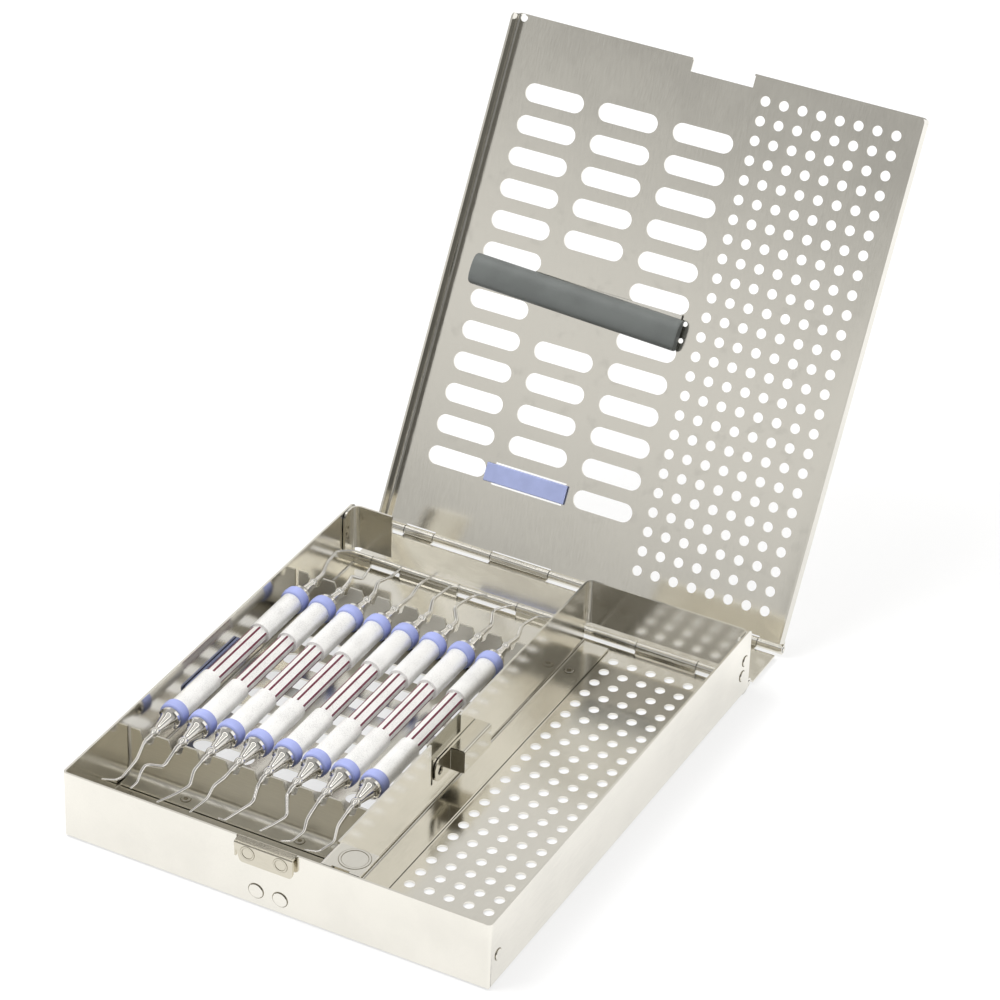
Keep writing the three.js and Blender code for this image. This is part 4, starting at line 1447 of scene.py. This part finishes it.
    def bar(self) -> Solid:
        """Returns the soft bar: a crowned section with upright sides, rounded at both ends."""
        steps, squareness, crown = 24, 0.72, 0.9
        side_share, crown_share, foot_share, middle_share = 0.16, 0.84, 0.985, 0.45
        ends = [(0.0, 0.93), (0.25, 0.97), (0.7, 0.995), (1.3, 1.0)]
        straight_inset, straight_stations = 4, 20
        half, base = self.bar_width / 2, self.bar_base
        rise = self.bar_top - base
        section = []
        for step in range(steps + 1):
            angle = math.pi * step / steps
            spread = math.copysign(abs(math.cos(angle)) ** squareness, math.cos(angle))
            lift = side_share + crown_share * math.sin(angle) ** crown
            section.append((half * spread, base + rise * lift))
        section = [(half * foot_share, base), *section, (-half * foot_share, base)]
        reach = self.bar_length / 2
        straight = np.linspace(-reach + straight_inset, reach - straight_inset, straight_stations)
        stations = [(-reach + away, share) for away, share in ends]
        stations += [(x, 1.0) for x in straight]
        stations += [(reach - away, share) for away, share in ends[::-1]]
        middle = base + rise * middle_share
        rings = [
            [Vector((x, u * share, middle + (v - middle) * share)) for u, v in section]
            for x, share in stations
        ]
        turn = shift(self.bar_x, self.bar_s, 0) @ rotation(Axis.Z, self.bar_tilt)
        return skin(rings).moved(turn)

    def rail(self) -> Solid:
        """Returns the thin metal rail under the bar."""
        left = self.bar_x - self.bar_length / 2 + self.rail_insets[0]
        right = self.bar_x + self.bar_length / 2 - self.rail_insets[1]
        low = self.gauge.half + self.gauge.gap
        return block(left, right, *self.rail_edges, low, low + self.gauge.sheet)

    def label(self) -> Solid:
        """Returns the plain strip in the lid, its long edges folded through the slits."""
        half, thick = self.strip_width / 2, self.strip_thickness
        bend, corner, steps = 0.6, 0.4, 4
        below, face = -self.gauge.half, self.gauge.half + self.gauge.gap
        left, right = self.strip_x - self.strip_length / 2, self.strip_x + self.strip_length / 2
        near, far = self.strip_s - half + thick / 2, self.strip_s + half - thick / 2
        middle = face + thick / 2
        section = [(near, below), (near, middle), (far, middle), (far, below)]
        body = prism(Axis.X, sheet_section(section, bend, thick), *self.strip_folds)
        edges = (self.strip_s - half, self.strip_s + half)
        flat = rounded_rectangle(*edges, face, face + thick, [0, 0, corner, corner], steps)
        return body + prism(Axis.X, flat, left, right)


# The instruments


@dataclass(frozen=True)
class Wires:
    """The bent wires at one end of the instruments.

    Each has a length, a roll about its handle, and straight runs, given as shares of the length and
    as angles to the handle.
    """

    bend: ClassVar[float] = 0.22
    start: float
    side: int
    lengths: tuple[float, ...]
    rolls: tuple[float, ...]
    shares: tuple[tuple[float, ...], ...]
    angles: tuple[tuple[float, ...], ...]

    def path(self, number: int, steps: int = 5) -> tuple[list[Vector], Vector]:
        """Returns the smooth middle line of one wire, and the direction of its plane.

        Args:
            number: The instrument, counted from 0.
            steps: Chords in each bend.

        Returns:
            The points of the line, and the direction.
        """
        roll = math.radians(self.rolls[number])
        outward = Vector((math.cos(roll), 0, math.sin(roll)))
        along = Vector((0, self.side, 0))
        corners = [Vector((0, self.start, 0))]
        for share, angle in zip(self.shares[number], self.angles[number]):
            run = share * self.lengths[number]
            turn = math.radians(angle)
            corners.append(corners[-1] + (along * math.cos(turn) + outward * math.sin(turn)) * run)
        points = [corners[0]]
        for before, corner, after in zip(corners, corners[1:], corners[2:]):
            first, last = corner.lerp(before, self.bend), corner.lerp(after, self.bend)
            for step in range(steps + 1):
                t = step / steps
                points.append(first.lerp(corner, t).lerp(corner.lerp(last, t), t))
        return [*points, corners[-1]], along.cross(outward)


@dataclass
class Instruments:
    """Eight double-ended instruments, each with its handle, tips, painted lines and two rings."""

    finishes: Finishes
    count: ClassVar[int] = 8
    pitch: ClassVar[float] = 11.85
    middle_x: ClassVar[float] = -34.9
    round_sides: ClassVar[int] = 40
    ring_sides: ClassVar[int] = 48
    wire_sides: ClassVar[int] = 14
    flats: ClassVar[int] = 6
    axis_z: float = 19.3
    handle: float = 4.2
    hexagon: float = 3.45
    hexagon_from: float = -17.0
    hexagon_to: float = 16.8
    hexagon_turn: float = 8.0
    ring_outer: float = 5.2
    ring_width: float = 4.9
    ring_front: float = -42.0
    ring_rear: float = 42.6
    rim: float = 1.8
    cone_end: float = 54.0
    cone: float = 1.65
    collar: float = 1.95
    shank: float = 0.95
    tip: float = 0.4
    front: Wires = Wires(
        -59.5, -1,
        (32.5, 31.1, 31.8, 29.9, 30, 27.1, 29.4, 32.3),
        (0, 150, 165, 0, 150, 150, 165, 0),
        (
            (0.074, 0.342, 0.351, 0.092, 0.142), (0.354, 0.186, 0.058, 0.109, 0.177, 0.116),
            (0.264, 0.248, 0.223, 0.264), (0.221, 0.197, 0.264, 0.318),
            (0.143, 0.273, 0.323, 0.19, 0.07), (0.155, 0.328, 0.28, 0.236),
            (0.412, 0.228, 0.231, 0.129), (0.325, 0.294, 0.238, 0.142),
        ),
        (
            (-1, 18, 6, -23, -67), (-9, 46, 24, -9, -20, 3), (-4, -22, 12, 19), (2, -7, 14, -7),
            (-11, -21, 10, 10, 61), (-10, -35, 11, 16), (-8, -22, 7, 46), (7, 22, -15, -74),
        ),
    )
    rear: Wires = Wires(
        57.7, 1,
        (28.2, 22.5, 24.6, 29, 26.4, 28, 26.3, 29),
        (165, 0, 150, 0, 150, 165, 0, 165),
        (
            (0.188, 0.245, 0.316, 0.252), (0.249, 0.191, 0.204, 0.356),
            (0.179, 0.228, 0.321, 0.272), (0.3, 0.324, 0.376),
            (0.125, 0.284, 0.451, 0.14), (0.125, 0.275, 0.425, 0.175),
            (0.297, 0.38, 0.221, 0.103), (0.21, 0.252, 0.307, 0.231),
        ),
        (
            (-1, 18, 5, -40), (-5, -15, 86, -10), (5, 20, -15, -2), (6, -9, 11),
            (-7, 23, -6, -43), (2, 36, -11, -44), (4, -25, 32, 45), (-7, 17, -12, -54),
        ),
    )

    @classmethod
    def x_of(cls, number: int) -> float:
        """Returns where an instrument lies across the tray, counted from 0."""
        return cls.middle_x + cls.pitch * (number - (cls.count - 1) / 2)

    def build(self) -> None:
        """Adds every instrument and its rings."""
        finishes = self.finishes
        for number in range(self.count):
            label = number + 1
            place = Place(f"hand_instrument_{label}", shift(self.x_of(number), 0, self.axis_z))
            node = f"instrument_{label}"
            front, rear = self.end(self.front, number), self.end(self.rear, number)
            show(f"{node}_handle", self.grip(), finishes.handle, place, [node])
            show(f"{node}_front_end", front, finishes.chrome, place, [node])
            show(f"{node}_rear_end", rear, finishes.chrome, place, [node])
            show(f"{node}_lines", self.lines(), finishes.wine_paint, place)
            for end, y in (("front", self.ring_front), ("rear", self.ring_rear)):
                ring, name = self.ring().moved(shift(0, y, 0)), f"{end}_band_{label}"
                show(name, ring, finishes.blue_silicone, place, [f"ring_{end}_{label}"])

    def grip(self) -> Solid:
        """Returns the satin handle: two round ends with chamfers about a hexagonal middle."""
        chamfer, small = 0.5, 0.25
        near = self.ring_front - self.ring_width / 2
        far = self.ring_rear + self.ring_width / 2
        wide, narrow = self.handle, self.handle - chamfer
        start, stop = self.hexagon_from, self.hexagon_to
        middle = [(self.hexagon, start - OVERRUN), (self.hexagon, stop + OVERRUN)]
        ends = [
            [(wide, near), (wide, start - small), (narrow, start)],
            [(narrow, stop), (wide, stop + small), (wide, far)],
        ]
        body = revolve(middle, self.flats, math.radians(self.hexagon_turn))
        return body + Solid.gather(revolve(profile, self.round_sides) for profile in ends)

    def lines(self) -> Solid:
        """Returns the painted lines, each wrapped over one edge of the hexagon."""
        reach, proud, sunk, end_gap = 0.42, 0.04, 0.2, 0.2
        drop = reach * math.tan(math.pi / self.flats)
        low, top = self.hexagon - drop, self.hexagon + proud
        outline = [
            (-reach, low - sunk), (reach, low - sunk),
            (reach, low + proud), (0, top), (-reach, low + proud),
        ]
        line = prism(Axis.Y, outline, self.hexagon_from + end_gap, self.hexagon_to - end_gap)
        turn = math.radians(self.hexagon_turn)
        return Solid.gather(
            line.moved(Matrix.Rotation(turn + FULL_TURN * edge / self.flats, 4, "Y"))
            for edge in range(self.flats)
        )

    def ring(self) -> Solid:
        """Returns one soft ring with rounded shoulders and a slight crown."""
        shoulder, crown, steps = 0.9, 0.15, 8
        clearance, past_bore = 0.02, 0.01
        half, bore = self.ring_width / 2, self.handle + clearance
        outer = []
        for step in range(steps + 1):
            angle = math.pi / 2 * step / steps
            radius = self.ring_outer - crown - shoulder * (1 - math.sin(angle))
            outer.append((radius, -half + shoulder * (1 - math.cos(angle))))
        outer.append((self.ring_outer, 0.0))
        outer += [(r, -y) for r, y in outer[-2::-1]]
        body = revolve([(bore, -half), *outer[1:-1], (bore, half)], self.ring_sides)
        inner = bore - past_bore
        return body - revolve([(inner, -half - OVERRUN), (inner, half + OVERRUN)], self.ring_sides)

    def end(self, wires: Wires, number: int) -> Solid:
        """Returns one bright end: rim, bell, collar and the bent wire.

        Args:
            wires: The wires of this end.
            number: The instrument, counted from 0.
        """
        handle, cone = self.handle, self.cone
        bell_steps, bell_curve, lip = 10, 1.25, 0.35
        collar_steps, collar_gap, collar_length = 8, 0.15, 2.7
        ring = self.ring_front if wires.side < 0 else self.ring_rear
        inner = abs(ring + wires.side * self.ring_width / 2)
        rim = inner + self.rim
        bell = [(handle - 0.15, inner), (handle + 0.05, inner + 0.25), (handle + 0.05, rim - 0.3)]
        bell += [(handle - 0.25, rim), (handle - 0.7, rim + lip)]
        wide = handle - 0.9
        for step in range(1, bell_steps + 1):
            t = step / bell_steps
            radius = cone + (wide - cone) * (1 - t) ** bell_curve
            bell.append((radius, rim + lip + (self.cone_end - rim - lip) * t))
        for step in range(collar_steps + 1):
            swell = cone + (self.collar - cone) * math.sin(math.pi * step / collar_steps)
            bell.append((swell, self.cone_end + collar_gap + collar_length * step / collar_steps))
        neck = self.cone_end + 2.85
        shank = self.shank
        bell += [(shank + 0.45, neck + 0.35), (shank, neck + 1.0), (shank - 0.1, neck + 3.2)]
        body = revolve(bell, self.round_sides)
        if wires.side < 0:
            body = body.moved(rotation(Axis.Z, 180))
        return body + self.wire(wires, number)

    def wire(self, wires: Wires, number: int) -> Solid:
        """Returns the tapered wire, flattened toward its point.

        Args:
            wires: The wires of one end.
            number: The instrument, counted from 0.
        """
        taper, flattening, point = 1.15, 0.25, (0.3, 0.4)
        path, normal = wires.path(number)
        lengths = [0.0]
        for a, b in zip(path, path[1:]):
            lengths.append(lengths[-1] + (b - a).length)
        radii = []
        for travelled in lengths:
            share = travelled / lengths[-1]
            radius = self.shank + (self.tip - self.shank) * share ** taper
            radii.append((radius * (1 - flattening * share), radius))
        last, before = path[-1], path[-2]
        path = [*path, last + (last - before).normalized() * self.tip]
        radii.append((self.tip * point[0], self.tip * point[1]))
        return tube(path, radii, normal, self.wire_sides)


# The studio


@dataclass(frozen=True)
class Studio:
    """The camera of the photograph, a plain pale floor and soft lamps."""

    eye: tuple[float, float, float] = (571.47, -1049.65, 879.06)
    azimuth: float = 27.254
    elevation: float = 32.645
    roll: float = 1.915
    lens: float = 146.787
    sensor: float = 36.0
    clip: Point = (0.05, 60.0)
    floor_half: float = 6.0
    floor_drop: float = 0.0002
    floor_tone: float = 0.28
    floor_glow: float = 0.67
    room_tint: tuple[float, float, float, float] = (1.0, 0.99, 0.965, 1.0)

    def build(self) -> None:
        """Adds the camera, floor, lamps and world."""
        self.camera()
        self.floor()
        self.lamps()
        self.world()
        bpy.context.scene.view_settings.view_transform = "Standard"

    def camera(self) -> None:
        """Adds the camera at the photograph's angle."""
        azimuth, elevation = math.radians(self.azimuth), math.radians(self.elevation)
        level, rise = math.cos(elevation), math.sin(elevation)
        back = Vector((math.sin(azimuth) * level, -math.cos(azimuth) * level, rise))
        data = bpy.data.cameras.new("camera")
        data.lens, data.sensor_width = self.lens, self.sensor
        data.clip_start, data.clip_end = self.clip
        camera = added("camera", data)
        turn = (-back).to_track_quat("-Z", "Y").to_matrix().to_4x4()
        eye = Matrix.Translation(Vector(self.eye) * MM)
        camera.matrix_world = eye @ turn @ rotation(Axis.Z, self.roll)
        bpy.context.scene.camera = camera

    def floor(self) -> None:
        """Adds the floor, which shows white and keeps the object's shadow."""
        half = self.floor_half
        mesh = bpy.data.meshes.new("floor")
        corners = [(-half, -half, 0), (half, -half, 0), (half, half, 0), (-half, half, 0)]
        mesh.from_pydata(corners, [], [(0, 1, 2, 3)])
        recipe = Recipe.named("pale_floor")
        seen = recipe.seen()
        grey = (*(self.floor_tone,) * 3, 1.0)
        plain = recipe.node("ShaderNodeBsdfDiffuse", sockets={"Color": grey})
        lit = recipe.node("ShaderNodeEmission", sockets={"Strength": seen * self.floor_glow})
        surface = recipe.node("ShaderNodeAddShader", sockets={0: plain, 1: lit})
        recipe.add("ShaderNodeOutputMaterial", sockets={"Surface": surface})
        mesh.materials.append(recipe.holder)
        floor = added("floor", mesh)
        floor.location.z = -self.floor_drop

    def lamps(self) -> None:
        """Adds the soft boxes."""
        boxes = (
            ("key", (-0.9, -0.5, 1.6), 1.2, 38.0),
            ("fill", (1.5, -0.9, 1.0), 1.0, 12.0),
            ("back", (0.2, 1.6, 1.4), 1.2, 15.0),
        )
        for name, spot, size, power in boxes:
            data = bpy.data.lights.new(name, "AREA")
            data.size, data.energy = size, power
            lamp = added(name, data)
            lamp.location = spot
            lamp.rotation_euler = (-Vector(spot)).to_track_quat("-Z", "Y").to_euler()
            lamp.visible_glossy = False

    def world(self) -> None:
        """Sets the surroundings: white to the eye, and to the object a room with bright parts."""
        world = bpy.data.worlds.new("room")
        bpy.context.scene.world = world
        recipe = Recipe(world)
        toward = recipe.node("ShaderNodeTexCoord", output="Generated")
        split = recipe.add("ShaderNodeSeparateXYZ", sockets={"Vector": toward}).outputs
        x, y, z = (Signal(recipe, split[name]) for name in "XYZ")
        back = recipe.between(y, -0.1, 0.55)
        aside = recipe.between(x, -0.1, 0.35) * back
        ahead = 1.0 - back
        panel = recipe.between(z, 0.356, 0.384) * (1.0 - recipe.between(z, 0.434, 0.462)) * ahead
        corner = recipe.between(x, 0.0, 0.28) * (1.0 - recipe.between(y, -0.95, -0.45))
        low = (1.0 - recipe.between(z, 0.14, 0.30)) * ahead
        lit = 1.0 - recipe.between(x, -0.36, 0.1)
        wall = 0.41 - low * 0.30 + back * 0.41 + aside * 0.20 + panel * 0.43 * lit
        beam = recipe.between(z, 0.60, 0.68)
        strip = recipe.between(z, 0.86, 0.878) * (1.0 - recipe.between(z, 0.89, 0.905))
        dim, top = recipe.between(z, 0.72, 0.79), recipe.between(z, 0.87, 0.93)
        roof = 0.40 - dim * 0.10 + strip * 2.0 + top * 0.36
        strength = wall * (1.0 - beam) * (1.0 - corner * 0.82) + beam * roof
        glow = {"Color": self.room_tint, "Strength": strength}
        room = recipe.node("ShaderNodeBackground", sockets=glow)
        white = recipe.node("ShaderNodeBackground", sockets={"Color": (1.0, 1.0, 1.0, 1.0)})
        camera = recipe.node("ShaderNodeLightPath", output="Is Camera Ray")
        surface = recipe.node("ShaderNodeMixShader", sockets={0: camera, 1: room, 2: white})
        recipe.add("ShaderNodeOutputWorld", sockets={"Surface": surface})


def main() -> None:
    """Builds the studio and every sub-assembly in order."""
    logging.basicConfig(level=logging.INFO, format="%(name)s: %(message)s")
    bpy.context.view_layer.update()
    Studio().build()
    finishes = Finishes.made()
    for assembly in (Tray, Latch, Spine, Lid, Instruments):
        assembly(finishes).build()


if __name__ == "__main__":
    main()
